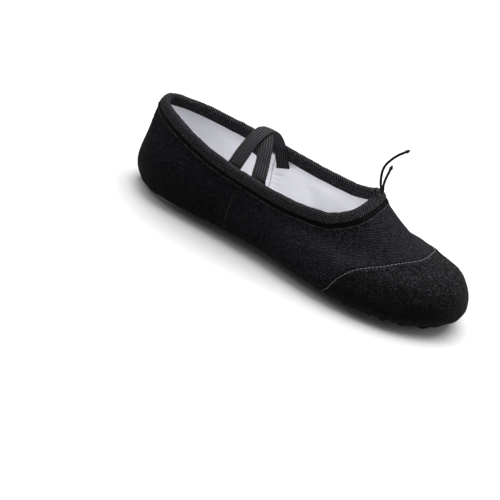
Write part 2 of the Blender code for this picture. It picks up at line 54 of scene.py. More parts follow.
# ------------------------------------------------------------------ camera
cam_data = bpy.data.cameras.new("camera")
cam_data.lens = 88.44
cam_data.sensor_width = 36.0
cam_data.clip_start = 0.01
cam_data.clip_end = 50.0
cam = bpy.data.objects.new("camera", cam_data)
bpy.context.scene.collection.objects.link(cam)
cam.matrix_world = Matrix(((0.85537, -0.43483, 0.28153, 0.20696),
                           (0.46027, 0.38862, -0.79820, -0.66239),
                           (0.23768, 0.81234, 0.53255, 0.42535),
                           (0.0, 0.0, 0.0, 1.0)))
bpy.context.scene.camera = cam

# ------------------------------------------------------ the shoe's surface
SHIFT_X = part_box("forefoot_sole")[1].x * 1000.0 - 98.0
EDGE_DROP = 3.2
TAPE_DROP = 9.2
SPAN = TAPE_DROP - EDGE_DROP
SIDE_SEAM_X = -38.0
STRING_R = 0.85
STRING_A, STRING_B = 1.9, -1.05
KEYS = [0, .06, .12, .19, .27, .36, .46, .56, .66, .76, .84, .90, .95, 1.0]
LOOPS = {
    "spine": dict(x=[62, 60, 57, 50, 38, 20, -5, -30, -55, -76, -84, -87, -88.5, -89],
                  y=[0] * 14, z=[2.2] * 14),
    "edge": dict(x=[111.5, 109, 101, 84, 56, 20, -5, -30, -55, -79, -99, -110.5, -116, -117.5],
                 y=[0, 10, 20.5, 30.5, 36, 31, 24.8, 22.4, 22.6, 23, 19.8, 13, 6.6, 0],
                 z=[3.8] * 14),
    "wide": dict(x=[121.5, 118.4, 108.6, 88, 57, 20, -5, -30, -55, -79, -101, -113.6, -120.3, -122],
                 y=[0, 12.3, 25, 37.2, 43, 40.8, 36.2, 33.2, 32, 30.6, 25.4, 15.8, 7.9, 0],
                 z=[13.5, 13.4, 13, 12.5, 12.5, 13, 13.5, 14, 14, 14, 14, 13.8, 13.6, 13.5]),
    "up1": dict(x=[112, 110, 101, 82.5, 54, 20, -5, -30, -55, -79, -101, -113, -118.7, -119.8],
                y=[0, 11.5, 22.5, 32.2, 37.8, 37.2, 34, 32.2, 31.2, 29, 22.6, 14.2, 7.1, 0],
                z=[33, 32, 29.4, 28, 27.8, 28.9, 30.2, 30.2, 31, 33, 35.4, 36.4, 37, 37.4]),
    "up2": dict(x=[79, 77.8, 73, 61, 43, 20, -5, -30, -55, -78.8, -99.8, -110.8, -115.8, -116.8],
                y=[0, 10.5, 18.4, 25, 28.3, 29.2, 29.9, 29.5, 27.4, 23.6, 17.1, 10.3, 4.9, 0],
                z=[38.8, 38.2, 37, 35.8, 35.6, 36.6, 37.7, 38.9, 41.3, 45.7, 49.7, 52.3, 54.2, 55.3]),
    "top": dict(x=[41.8, 41.1, 38.8, 34.6, 27.5, 19, -5, -30, -55, -78.7, -96.4, -106.4, -110.9, -112.2],
                y=[0, 8.8, 16, 21, 24.2, 26.8, 29.2, 29.2, 27.4, 22, 15.3, 9.6, 4.9, 0],
                z=[62.6, 61.8, 59.4, 56, 52.4, 50.4, 49.7, 51.6, 54, 57.9, 61.4, 63.2, 64.2, 64.4]),
}
LOOP_ORDER = ("spine", "edge", "wide", "up1", "up2", "top")


def periodic_spline(keys, vals, u, period=2.0):
    k = np.asarray(keys, float)
    v = np.asarray(vals, float)
    n = len(k)
    h = np.diff(np.append(k, k[0] + period))
    a = np.zeros((n, n))
    b = np.zeros((n, v.shape[1]))
    for i in range(n):
        hp, hn = h[i - 1], h[i]
        a[i, i - 1] += hp
        a[i, i] += 2 * (hp + hn)
        a[i, (i + 1) % n] += hn
        b[i] = 6 * ((v[(i + 1) % n] - v[i]) / hn - (v[i] - v[i - 1]) / hp)
    m = np.linalg.solve(a, b)
    u = np.mod(np.asarray(u, float) - k[0], period) + k[0]
    j = np.clip(np.searchsorted(k, u, side="right") - 1, 0, n - 1)
    q = (u - k[j])[:, None]
    hh = h[j][:, None]
    p = hh - q
    j2 = (j + 1) % n
    return ((m[j] * p ** 3 + m[j2] * q ** 3) / (6 * hh)
            + (v[j] / hh - m[j] * hh / 6) * p + (v[j2] / hh - m[j2] * hh / 6) * q)


def outlines(u):
    keys = list(KEYS) + [2 - s for s in KEYS[-2:0:-1]]
    order = [(i, -1) for i in range(14)] + [(i, 1) for i in range(12, 0, -1)]
    out = []
    for name in LOOP_ORDER:
        t = LOOPS[name]
        out.append(periodic_spline(keys, [(t["x"][i], s * t["y"][i], t["z"][i]) for i, s in order], u))
    out = np.array(out)
    out[..., 0] += SHIFT_X
    return out


def section_lines(ctrl, sub=40):
    kk, nu, _ = ctrl.shape
    p = np.concatenate([2 * ctrl[:1] - ctrl[1:2], ctrl, 2 * ctrl[-1:] - ctrl[-2:-1]], 0)
    pts = []
    for i in range(kk - 1):
        p0, p1, p2, p3 = p[i], p[i + 1], p[i + 2], p[i + 3]

        def knot(a, b):
            return np.maximum(np.linalg.norm(b - a, axis=1), 1e-6) ** 0.5
        t0 = np.zeros(nu)
        t1 = t0 + knot(p0, p1)
        t2 = t1 + knot(p1, p2)
        t3 = t2 + knot(p2, p3)
        for k in range(sub + (1 if i == kk - 2 else 0)):
            t = t1 + (t2 - t1) * k / sub

            def mix(a, b, ta, tb):
                return ((tb - t) / (tb - ta))[:, None] * a + ((t - ta) / (tb - ta))[:, None] * b
            a1, a2, a3 = mix(p0, p1, t0, t1), mix(p1, p2, t1, t2), mix(p2, p3, t2, t3)
            pts.append(mix(mix(a1, a2, t0, t2), mix(a2, a3, t1, t3), t1, t2))
    q = np.array(pts)
    seg = np.linalg.norm(np.diff(q, axis=0), axis=2)
    arc = np.concatenate([np.zeros((1, nu)), np.cumsum(seg, 0)], 0)
    return q, arc


def rows_from(q, arc, want):
    out = np.zeros(want.shape + (3,))
    for j in range(want.shape[1]):
        for c in range(3):
            out[:, j, c] = np.interp(want[:, j], arc[:, j], q[:, j, c])
    return out


def unit(v):
    return v / np.maximum(np.linalg.norm(v, axis=-1), 1e-9)[..., None]


def edge_frames(u, sub=40):
    """Points 9.2 and 3.2 mm below the top edge at each u, and the normals there."""
    def three(uu):
        q, arc = section_lines(outlines(uu), sub)
        total, wide = arc[-1], arc[2 * sub]
        low = total - TAPE_DROP
        return rows_from(q, arc, np.array([wide + (low - wide) * 0.8, low, total - EDGE_DROP]))
    base = three(u)
    du = three(u + 0.004) - three(u - 0.004)
    dv = np.stack([base[2] - base[0], base[2] - base[1]])
    nrm = unit(np.cross(dv, du[1:]))
    centre = np.stack([np.clip(base[1:, :, 0], -80, 70), 0 * base[1:, :, 0], 0 * base[1:, :, 0] + 25], -1)
    flip = ((base[1:] - centre) * nrm).sum(-1) < 0
    nrm[flip] *= -1
    return base[1], base[2], nrm[0], nrm[1]


def wall_from(frames, a, b):
    """Points a mm below the top edge and b mm outwards, at each station of frames."""
    p_low, p_high, n_low, n_high = frames
    a = np.asarray(a, float) + np.zeros(len(p_low))
    b = np.asarray(b, float) + np.zeros(len(p_low))
    t = ((TAPE_DROP - a) / SPAN)[:, None]
    tt = np.clip(t, 0, 1)
    n = n_low * (1 - tt) + n_high * tt
    return p_low + (p_high - p_low) * t + n * b[:, None]


def wob(p, size, seed, waves=5):
    """Smooth seeded waviness, about -1 to 1, with features of the given size in mm."""
    rng = np.random.default_rng(seed)
    out = 0.0
    for _ in range(waves):
        d = rng.normal(size=3)
        d /= np.linalg.norm(d)
        k = 2 * math.pi / (size * rng.uniform(0.7, 1.5))
        out = out + np.sin((p @ d) * k + rng.uniform(0, 6.28)) * rng.uniform(0.6, 1.0)
    return out / (0.55 * waves)


def ramp(x, lo, hi):
    t = np.clip((x - lo) / (hi - lo), 0, 1)
    return t * t * (3 - 2 * t)


# -------------------------------------------------------------- the cords
CK = 40
COARSE = edge_frames(np.arange(CK) * 2.0 / CK)


def at_drop(k, a, b):
    k0 = int(math.floor(k))
    f = k - k0
    pts = wall_from(COARSE, a, b)
    return pts[k0 % CK] * (1 - f) + pts[(k0 + 1) % CK] * f


SLIT_Y = 6.0


def channel_table():
    ks = np.linspace(-7.0, 7.0, 1401)
    pts = np.array([at_drop(k, STRING_A, STRING_B) for k in ks])
    run = np.concatenate([[0], np.cumsum(np.linalg.norm(np.diff(pts, axis=0), axis=1))])
    return ks, run, float(np.interp(-SLIT_Y, -pts[:, 1], run))


CHANNEL = channel_table()


def channel(d, side):
    """Station d mm along the string's channel from the slit's middle."""
    ks, run, mid = CHANNEL
    return float(np.interp(mid - side * d, run, ks)) % CK


def smooth_path(points, count):
    p = np.array(points, float)
    d = np.concatenate([[0], np.cumsum(np.linalg.norm(np.diff(p, axis=0), axis=1))])
    n = len(p)
    h = np.diff(d)
    a = np.eye(n)
    b = np.zeros((n, 3))
    for i in range(1, n - 1):
        a[i, i - 1], a[i, i], a[i, i + 1] = h[i - 1], 2 * (h[i - 1] + h[i]), h[i]
        b[i] = 6 * ((p[i + 1] - p[i]) / h[i] - (p[i] - p[i - 1]) / h[i - 1])
    m = np.linalg.solve(a, b)
    s = np.linspace(0, d[-1], 900)
    j = np.clip(np.searchsorted(d, s, side="right") - 1, 0, n - 2)
    q = (s - d[j])[:, None]
    hh = h[j][:, None]
    r = hh - q
    c = ((m[j] * r ** 3 + m[j + 1] * q ** 3) / (6 * hh)
         + (p[j] / hh - m[j] * hh / 6) * r + (p[j + 1] / hh - m[j + 1] * hh / 6) * q)
    e = np.concatenate([[0], np.cumsum(np.linalg.norm(np.diff(c, axis=0), axis=1))])
    want = np.linspace(0, e[-1], count)
    return np.stack([np.interp(want, e, c[:, i]) for i in range(3)], 1), e[-1]


K_SLIT = channel(0.0, 1)
T_HAT = unit(at_drop(K_SLIT, 0.0, 0.0) - at_drop(K_SLIT, 5.0, 0.0))
N_HAT = unit(at_drop(K_SLIT, STRING_A, 1.0) - at_drop(K_SLIT, STRING_A, 0.0))
C0 = at_drop(K_SLIT, STRING_A, STRING_B)


def tail_route(side, free):
    pts = [at_drop(channel(y, side), STRING_A, STRING_B) for y in (13.2, 10.6, 8.0, 5.6)]
    y0, r = 4.2, 2.6
    for deg in (15, 40, 65, 90):
        a = math.radians(deg)
        y = y0 - r * math.sin(a)
        pts.append(at_drop(channel(y, side), STRING_A, STRING_B) + N_HAT * (r * (1 - math.cos(a))))
    return pts + [np.array(p) + np.array([SHIFT_X, 0, 0]) for p in free]


LONG_FREE = [(43.9, 5.1, 64.0), (42.6, 4.9, 67.2), (41.3, 4.7, 71.2), (40.5, 4.6, 75.4), (40.3, 4.6, 78.4),
             (41.1, 4.6, 83.0), (43.3, 4.6, 87.6), (46.3, 4.6, 92.1), (50.0, 4.6, 96.2)]
SHORT_FREE = [(43.9, 8.0, 63.6), (43.4, 7.8, 66.0), (43.1, 7.6, 69.0), (43.3, 7.4, 73.4), (44.0, 7.4, 79.4)]


def tangents(p, closed=False):
    if closed:
        return unit(np.roll(p, -1, 0) - np.roll(p, 1, 0))
    t = np.zeros_like(p)
    t[1:-1] = p[2:] - p[:-2]
    t[0] = p[1] - p[0]
    t[-1] = p[-1] - p[-2]
    return unit(t)


def carried_frames(p, ref, closed=False):
    """Side and up directions along a line, turned as little as possible."""
    t = tangents(p, closed)
    u = np.zeros_like(p)
    v = ref - t[0] * (ref @ t[0])
    v /= np.linalg.norm(v)
    for i in range(len(p)):
        v = v - t[i] * (v @ t[i])
        v /= np.linalg.norm(v)
        u[i] = v
    return t, u, np.cross(t, u)


def make(name, verts, faces, mat, fab=None, flip=None):
    """A mesh object from millimetre points. fab holds cloth coordinates."""
    me = bpy.data.meshes.new(name)
    v = np.asarray(verts, float) * MM
    me.from_pydata(v.tolist(), [], [tuple(int(i) for i in f) for f in faces])
    me.update()
    if flip is None:
        tot = 0.0
        me.calc_loop_triangles()
        tri = np.zeros(len(me.loop_triangles) * 3, np.int32)
        me.loop_triangles.foreach_get("vertices", tri)
        tri = tri.reshape(-1, 3)
        a, b, c = v[tri[:, 0]], v[tri[:, 1]], v[tri[:, 2]]
        tot = (a * np.cross(b, c)).sum()
        flip = tot < 0
    if flip:
        me.flip_normals()
    me.shade_smooth()
    if fab is not None:
        at = me.attributes.new("fab", "FLOAT_VECTOR", "POINT")
        at.data.foreach_set("vector", np.asarray(fab, np.float32).ravel())
    if mat is not None:
        for m in (mat if isinstance(mat, (list, tuple)) else [mat]):
            me.materials.append(m)
    ob = bpy.data.objects.new(name, me)
    bpy.context.scene.collection.objects.link(ob)
    return ob


def tube_mesh(p, radius, sides, ref=np.array([0.0, 1.0, 0.0]), twist=0.0, plies=0, ply_depth=0.0,
              closed=False, round_ends=True):
    """Tube about points p; plies twisted strands show as a lobed section."""
    p = np.asarray(p, float)
    radius = np.zeros(len(p)) + radius
    t, u, w = carried_frames(p, ref, closed)
    seg = np.linalg.norm(np.diff(p, axis=0), axis=1)
    s = np.concatenate([[0], np.cumsum(seg)])
    if round_ends and not closed:
        rr = radius.copy()
        r0, r1 = radius[0], radius[-1]
        head = np.clip(1 - ((r0 - s) / r0).clip(0) ** 2, 0.02, 1) ** 0.5
        tail = np.clip(1 - ((r1 - (s[-1] - s)) / r1).clip(0) ** 2, 0.02, 1) ** 0.5
        radius = rr * np.minimum(head, tail)
    ang = np.arange(sides) * 2 * math.pi / sides
    verts, fab = [], []
    for i in range(len(p)):
        phase = twist * s[i]
        lobe = np.ones(sides)
        if plies:
            lobe = 1 - ply_depth * (1 - np.abs(np.cos((ang * plies + phase * plies) / 2)))
        r = radius[i] * lobe
        verts.append(p[i] + np.outer(np.cos(ang) * r, u[i]) + np.outer(np.sin(ang) * r, w[i]))
        fab.append(np.stack([np.full(sides, s[i]), ang * radius.max(), (lobe - (1 - ply_depth)) / max(ply_depth, 1e-6)], 1))
    n = len(p)
    faces = []
    for i in range(n if closed else n - 1):
        j = (i + 1) % n
        for c in range(sides):
            d = (c + 1) % sides
            faces.append((i * sides + c, i * sides + d, j * sides + d, j * sides + c))
    if not closed:
        faces.append(tuple(reversed(range(sides))))
        faces.append(tuple((n - 1) * sides + c for c in range(sides)))
    return np.concatenate(verts), faces, np.concatenate(fab)


class Parts:
    """Gathers many small bodies into one mesh."""

    def __init__(self):
        self.v, self.f, self.a, self.m, self.n = [], [], [], [], 0

    def add(self, verts, faces, fab, index=0):
        self.v.append(np.asarray(verts))
        self.a.append(np.asarray(fab))
        self.f += [tuple(i + self.n for i in f) for f in faces]
        self.m += [index] * len(faces)
        self.n += len(verts)

    def build(self, name, mats):
        ob = make(name, np.concatenate(self.v), self.f, mats, np.concatenate(self.a), flip=False)
        if isinstance(mats, (list, tuple)) and len(mats) > 1:
            ob.data.polygons.foreach_set("material_index", np.array(self.m, np.int32))
        return ob


# --------------------------------------------------------------- materials
class Graph:
    def __init__(self, name, rough=0.8, sheen=0.0, sheen_rough=0.5, spec=0.3):
        self.m = bpy.data.materials.new(name)
        self.m.use_nodes = True
        self.nt = self.m.node_tree
        self.b = self.nt.nodes["Principled BSDF"]
        self.b.inputs["Roughness"].default_value = rough
        self.b.inputs["Sheen Weight"].default_value = sheen
        self.b.inputs["Sheen Roughness"].default_value = sheen_rough
        self.b.inputs["Specular IOR Level"].default_value = spec
        at = self.nt.nodes.new("ShaderNodeAttribute")
        at.attribute_name = "fab"
        self.fab = at.outputs["Vector"]
        sep = self.nt.nodes.new("ShaderNodeSeparateXYZ")
        self.nt.links.new(self.fab, sep.inputs[0])
        self.p, self.q, self.w = sep.outputs[0], sep.outputs[1], sep.outputs[2]
        co = self.nt.nodes.new("ShaderNodeTexCoord")
        mp = self.nt.nodes.new("ShaderNodeMapping")
        mp.inputs["Scale"].default_value = (1000.0, 1000.0, 1000.0)
        self.nt.links.new(co.outputs["Object"], mp.inputs["Vector"])
        self.obj = mp.outputs["Vector"]
        high = self.nt.nodes.new("ShaderNodeSeparateXYZ")
        self.nt.links.new(self.obj, high.inputs[0])
        self.along = high.outputs[0]
        self.high = high.outputs[2]

    def put(self, sock, val):
        if isinstance(val, (int, float)):
            sock.default_value = float(val)
        elif isinstance(val, (tuple, list)):
            sock.default_value = val if len(val) == len(sock.default_value) else (*val, 1.0)
        else:
            self.nt.links.new(val, sock)

    def math(self, op, a, b=None, c=None, clamp=False):
        n = self.nt.nodes.new("ShaderNodeMath")
        n.operation = op
        n.use_clamp = clamp
        for i, x in enumerate((a, b, c)):
            if x is not None:
                self.put(n.inputs[i], x)
        return n.outputs[0]

    def add(self, a, b):
        return self.math('ADD', a, b)

    def mul(self, a, b):
        return self.math('MULTIPLY', a, b)

    def noise(self, scale, detail=2.0, rough=0.5, vec=None, distortion=0.0):
        n = self.nt.nodes.new("ShaderNodeTexNoise")
        n.inputs["Scale"].default_value = scale
        n.inputs["Detail"].default_value = detail
        n.inputs["Roughness"].default_value = rough
        n.inputs["Distortion"].default_value = distortion
        self.nt.links.new(self.obj if vec is None else vec, n.inputs["Vector"])
        return n.outputs["Fac"]

    def vor(self, scale, vec=None, feature='F1'):
        n = self.nt.nodes.new("ShaderNodeTexVoronoi")
        n.feature = feature
        n.inputs["Scale"].default_value = scale
        self.nt.links.new(self.obj if vec is None else vec, n.inputs["Vector"])
        return n.outputs["Distance"]

    def band(self, x, lo, hi, a=0.0, b=1.0):
        n = self.nt.nodes.new("ShaderNodeMapRange")
        n.interpolation_type = 'SMOOTHSTEP'
        self.put(n.inputs["Value"], x)
        n.inputs["From Min"].default_value = lo
        n.inputs["From Max"].default_value = hi
        n.inputs["To Min"].default_value = a
        n.inputs["To Max"].default_value = b
        return n.outputs["Result"]

    def wave(self, x, period, phase=0.0):
        """sin of x with the given period"""
        return self.math('SINE', self.add(self.mul(x, 2 * math.pi / period), phase))

    def mix(self, fac, a, b):
        n = self.nt.nodes.new("ShaderNodeMix")
        n.data_type = 'RGBA'
        self.put(n.inputs[0], fac)
        self.put(n.inputs[6], a)
        self.put(n.inputs[7], b)
        return n.outputs[2]

    def colour(self, c):
        self.put(self.b.inputs["Base Color"], c)

    def rough(self, r):
        self.put(self.b.inputs["Roughness"], r)

    def bump(self, height, dist_mm, strength=1.0, below=None):
        n = self.nt.nodes.new("ShaderNodeBump")
        n.inputs["Strength"].default_value = strength
        n.inputs["Distance"].default_value = dist_mm * MM
        self.put(n.inputs["Height"], height)
        if below is not None:
            self.nt.links.new(below, n.inputs["Normal"])
        return n.outputs["Normal"]

    def normal(self, n):
        self.nt.links.new(n, self.b.inputs["Normal"])


def weave_height(g, pitch, wander=0.25):
    """Plain weave: threads over and under one another, a little uneven."""
    n1 = g.noise(0.16, 2.0)
    n2 = g.noise(0.21, 2.0, distortion=0.3)
    p = g.add(g.p, g.mul(g.math('SUBTRACT', n1, 0.5), wander * 8))
    q = g.add(g.q, g.mul(g.math('SUBTRACT', n2, 0.5), wander * 8))
    a = g.wave(p, pitch * 2)
    b = g.wave(q, pitch * 2)
    return g.add(g.mul(g.mul(a, b), 0.5), 0.5)


def mat_canvas():
    g = Graph("black_canvas", rough=0.9, sheen=0.006, sheen_rough=0.45, spec=0.03)
    h = weave_height(g, 0.84, 0.12)
    slub = g.noise(0.75, 3.0, 0.6)
    fine = g.noise(2.2, 2.0, 0.7)
    big = g.noise(0.05, 3.0)
    f = g.mul(g.math('POWER', h, 4.2), g.band(slub, 0.32, 0.70, 0.25, 1.3))
    f = g.mul(f, g.band(fine, 0.30, 0.70, 0.35, 1.3))
    # painted shade: the canvas is darker towards the heel and towards the bottom, and painted light makes it lighter
    # towards the toe
    painted_shade = g.mul(g.band(g.add(g.along, g.mul(big, 24.0)), -40.0, 45.0, 0.50, 1.15), g.band(g.high, 8.0, 46.0, 0.60, 1.0))
    c = g.mix(g.mul(f, painted_shade), (0.0004, 0.0004, 0.0008), (0.088, 0.086, 0.101))
    lint = g.math('GREATER_THAN', g.noise(1.7, 1.0), 0.72)
    c = g.mix(g.mul(lint, 0.6), c, (0.075, 0.075, 0.082))
    c = g.mix(g.band(big, 0.35, 0.75, 0.0, 0.16), c, (0.008, 0.008, 0.0095))
    # painted highlight: a lighter line along the crest of the canvas fold under the tape
    drop = g.add(g.w, g.mul(g.noise(0.17, 2.0), 1.3))
    ridge = g.band(g.math('ABSOLUTE', g.math('SUBTRACT', drop, 10.85)), 0.10, 0.60, 0.70, 0.0)
    c = g.mix(g.mul(ridge, g.band(g.noise(0.35, 3.0), 0.42, 0.60)), c, (0.060, 0.060, 0.066))
    g.colour(c)
    g.rough(g.band(h, 0.0, 1.0, 0.96, 0.84))
    g.normal(g.bump(g.add(h, g.mul(slub, 0.8)), 0.18, 0.8))
    return g.m


def mat_suede():
    g = Graph("toe_suede", rough=0.97, sheen=0.03, sheen_rough=0.5, spec=0.04)
    n1 = g.noise(0.85, 4.0, 0.7, distortion=0.8)
    n2 = g.noise(2.2, 3.0, 0.7)
    n3 = g.noise(0.09, 3.0)
    f = g.mul(g.band(n1, 0.47, 0.70), g.band(n2, 0.40, 0.66, 0.10, 1.3))
    # painted shade: fewer light flecks, so darker, towards the bottom of the toe cap
    suede_painted_shade = g.band(g.add(g.high, g.mul(n3, 16.0)), 22.0, 50.0, 0.10, 1.0)
    c = g.mix(g.mul(f, suede_painted_shade), (0.0010, 0.0010, 0.0013), (0.078, 0.077, 0.087))
    c = g.mix(g.band(n3, 0.35, 0.7, 0.0, 0.22), c, (0.0045, 0.0045, 0.0055))
    g.colour(c)
    g.rough(g.band(n1, 0.2, 0.8, 0.99, 0.90))
    g.normal(g.bump(g.add(g.mul(n1, 1.0), g.mul(n2, 0.7)), 0.40, 0.9))
    return g.m


def mat_tape():
    g = Graph("binding_twill", rough=0.8, sheen=0.015, sheen_rough=0.4, spec=0.05)
    fine = g.noise(2.0, 2.0, 0.6)
    big = g.noise(0.12, 2.0)
    yarn = g.wave(g.add(g.p, g.mul(g.q, -0.6)), 0.70)
    # painted highlight and painted shade: lighter on the rib crests (fab z), near black in the grooves between them
    f = g.mul(g.math('POWER', g.w, 4.4), g.band(fine, 0.36, 0.64, 0.10, 1.4))
    f = g.mul(f, g.band(yarn, -1.0, 1.0, 0.6, 1.1))
    c = g.mix(f, (0.0008, 0.0008, 0.0013), (0.112, 0.110, 0.120))
    c = g.mix(g.band(big, 0.35, 0.7, 0.0, 0.18), c, (0.004, 0.004, 0.005))
    g.colour(c)
    g.rough(g.band(fine, 0.2, 0.8, 0.9, 0.72))
    g.normal(g.bump(g.add(g.mul(yarn, 0.4), fine), 0.12, 0.8))
    return g.m


def mat_elastic():
    g = Graph("ribbed_elastic", rough=0.68, sheen=0.02, sheen_rough=0.35, spec=0.14)
    fine = g.noise(2.6, 2.0, 0.6)
    pick = g.wave(g.p, 0.80)
    # painted highlight and painted shade: lighter on the rib crests (fab z), near black in the grooves between them
    f = g.mul(g.math('POWER', g.w, 3.0), g.band(fine, 0.25, 0.75, 0.5, 1.2))
    f = g.mul(f, g.band(pick, -1.0, 1.0, 0.6, 1.15))
    c = g.mix(f, (0.0008, 0.0008, 0.0013), (0.043, 0.043, 0.048))
    g.colour(c)
    g.rough(g.band(fine, 0.2, 0.8, 0.8, 0.6))
    g.normal(g.bump(g.add(g.mul(pick, 0.5), g.mul(fine, 0.6)), 0.09, 0.8))
    return g.m


def mat_lining():
    g = Graph("white_lining", rough=0.92, sheen=0.05, sheen_rough=0.5, spec=0.15)
    h = weave_height(g, 0.36, 0.15)
    n = g.noise(0.045, 3.0)
    fine = g.noise(1.8, 2.0)
    c = g.mix(g.band(n, 0.3, 0.72), (0.900, 0.900, 0.925), (0.855, 0.855, 0.890))
    c = g.mix(g.mul(g.band(h, 0.0, 0.6, 1.0, 0.0), 0.10), c, (0.66, 0.66, 0.71))
    c = g.mix(g.mul(g.band(fine, 0.55, 0.8), 0.12), c, (0.76, 0.76, 0.80))
    # painted shade: the lining turns greyer towards the heel, for the shade inside the heel
    c = g.mix(g.band(g.add(g.along, g.mul(n, 20.0)), -92.0, -50.0, 0.66, 0.0), c, (0.62, 0.62, 0.66))
    line = g.band(g.math('ABSOLUTE', g.math('SUBTRACT', g.p, SIDE_SEAM_X + SHIFT_X)), 0.15, 0.75, 0.55, 0.0)
    c = g.mix(line, c, (0.30, 0.30, 0.34))
    g.colour(c)
    g.rough(g.band(fine, 0.2, 0.8, 0.95, 0.88))
    g.normal(g.bump(g.add(h, g.mul(fine, 0.5)), 0.07, 0.7))
    return g.m


def mat_sole():
    g = Graph("sole_suede", rough=0.93, sheen=0.2, sheen_rough=0.5, spec=0.15)
    n1 = g.noise(1.1, 4.0, 0.7, distortion=0.5)
    n2 = g.noise(0.07, 4.0, 0.6)
    n3 = g.noise(3.0, 2.0, 0.6)
    c = g.mix(g.band(n1, 0.3, 0.7), (0.77, 0.765, 0.785), (0.60, 0.595, 0.62))
    c = g.mix(g.mul(g.band(n2, 0.58, 0.80), g.band(n1, 0.35, 0.65, 0.2, 0.7)), c, (0.36, 0.35, 0.36))
    c = g.mix(g.mul(g.w, 0.65), c, (0.30, 0.295, 0.31))
    g.colour(c)
    g.rough(g.band(n1, 0.2, 0.8, 0.97, 0.86))
    g.normal(g.bump(g.add(n1, g.mul(n3, 0.6)), 0.22, 0.9))
    return g.m


def mat_thread(name, dark, light, rough=0.7):
    g = Graph(name, rough=rough, sheen=0.05, spec=0.3)
    tw = g.wave(g.add(g.p, g.mul(g.q, 1.2)), 0.55)
    n = g.noise(1.3, 2.0)
    f = g.mul(g.band(tw, -1.0, 1.0, 0.2, 1.0), g.band(n, 0.3, 0.7, 0.5, 1.1))
    g.colour(g.mix(f, dark, light))
    g.rough(g.band(n, 0.2, 0.8, rough + 0.1, rough - 0.08))
    g.normal(g.bump(tw, 0.06, 0.7))
    return g.m


def mat_cord():
    g = Graph("braided_cord", rough=0.75, sheen=0.01, spec=0.10)
    a = g.wave(g.add(g.p, g.mul(g.q, 1.3)), 1.5)
    b = g.wave(g.add(g.p, g.mul(g.q, -1.3)), 1.5)
    h = g.math('MAXIMUM', a, b)
    n = g.noise(2.4, 2.0)
    f = g.mul(g.band(h, -0.6, 1.0), g.band(n, 0.3, 0.7, 0.5, 1.1))
    g.colour(g.mix(f, (0.0012, 0.0012, 0.0015), (0.014, 0.014, 0.016)))
    g.rough(g.band(n, 0.2, 0.8, 0.82, 0.62))
    g.normal(g.bump(g.add(h, g.mul(n, 0.6)), 0.10, 0.8))
    return g.m


def mat_foam():
    g = Graph("pad_cloth", rough=0.9, sheen=0.1, spec=0.2)
    h = weave_height(g, 0.55, 0.15)
    n = g.noise(0.06, 3.0)
    c = g.mix(g.band(n, 0.3, 0.7), (0.89, 0.885, 0.89), (0.83, 0.825, 0.835))
    c = g.mix(g.mul(g.band(h, 0.0, 0.6, 1.0, 0.0), 0.15), c, (0.48, 0.47, 0.49))
    g.colour(c)
    g.rough(g.band(n, 0.2, 0.8, 0.95, 0.85))
    g.normal(g.bump(h, 0.12, 0.8))
    return g.m


CANVAS, SUEDE, TAPE, ELASTIC = mat_canvas(), mat_suede(), mat_tape(), mat_elastic()
LINING, SOLE, CORD, FOAM = mat_lining(), mat_sole(), mat_cord(), mat_foam()
BLACK_THREAD = mat_thread("black_thread", (0.002, 0.002, 0.0025), (0.022, 0.022, 0.025), 0.8)
SEAM_THREAD = mat_thread("seam_thread", (0.07, 0.07, 0.075), (0.30, 0.30, 0.31), 0.7)
SOLE_DARK = mat_thread("sole_thread_dark", (0.020, 0.020, 0.022), (0.09, 0.09, 0.095))
SOLE_PALE = mat_thread("sole_thread_pale", (0.50, 0.50, 0.52), (0.80, 0.80, 0.82))
RAW_END = mat_thread("elastic_core", (0.08, 0.08, 0.085), (0.55, 0.55, 0.56))


# ------------------------------------------------------- tails and their knots
def cord_piece(name, pts, cad, lay):
    verts, faces, fab = tube_mesh(pts, STRING_R, 14, twist=1.25, plies=4, ply_depth=0.13)
    ob = make(name, verts, faces, CORD, fab)
    return ob


def knot_piece(name, pts):
    """A small tight knot: the cord wound once round itself, with a blunt cut end."""
    d = unit(pts[-1] - pts[-2])
    c = pts[-1] + d * 1.2
    u = unit(np.cross(d, np.array([0.0, 1.0, 0.0])))
    w = np.cross(d, u)
    t = np.linspace(0, 1, 60)
    ang = 2 * math.pi * 1.6 * t
    line = c + np.outer(-0.75 + 1.5 * t, d) + np.outer(np.cos(ang) * 0.62, u) + np.outer(np.sin(ang) * 0.62, w)
    parts = Parts()
    parts.add(*tube_mesh(line, 0.62, 12, twist=1.6, plies=3, ply_depth=0.16))
    core = np.array([pts[-1] - d * 0.5, pts[-1] + d * 0.6, c + d * 0.5, c + d * 1.75])
    parts.add(*tube_mesh(smooth_path(core, 24)[0], 0.74, 12, twist=1.25, plies=4, ply_depth=0.13, round_ends=False))
    rng = np.random.default_rng(7 + len(pts))
    for _ in range(14):
        a, r = rng.uniform(0, 6.28), rng.uniform(0.1, 0.6)
        side = u * math.cos(a) + w * math.sin(a)
        root, tip = c + d * 1.6 + side * r, c + d * rng.uniform(1.95, 2.3) + side * (r + rng.uniform(0, 0.25))
        parts.add(*tube_mesh(smooth_path([root, (root + tip) / 2, tip], 5)[0], 0.09, 5))
    return parts.build(name, CORD)


tails = []
for side, free, key, cnt in ((-1, LONG_FREE, "long", 160), (1, SHORT_FREE, "short", 120)):
    pts, length = smooth_path(tail_route(side, free), cnt)
    tail = cord_piece(f"string_tail_{key}", pts, None, None)
    knot = knot_piece(f"string_knot_{key}", pts)
    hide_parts(f"drawstring_tail_{key}")
    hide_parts(f"tail_knot_{key}")
    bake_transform(tail)
    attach(knot, "string_ends")
    tails.append((tail, knot))


# ----------------------------------------------------------- the fine grid
def station_list():
    half = np.concatenate([np.linspace(0, 0.30, 151)[:-1], np.linspace(0.30, 0.90, 111)[:-1],
                           np.linspace(0.90, 1.0, 25)])
    return np.concatenate([half, (2 - half[-2:0:-1])])


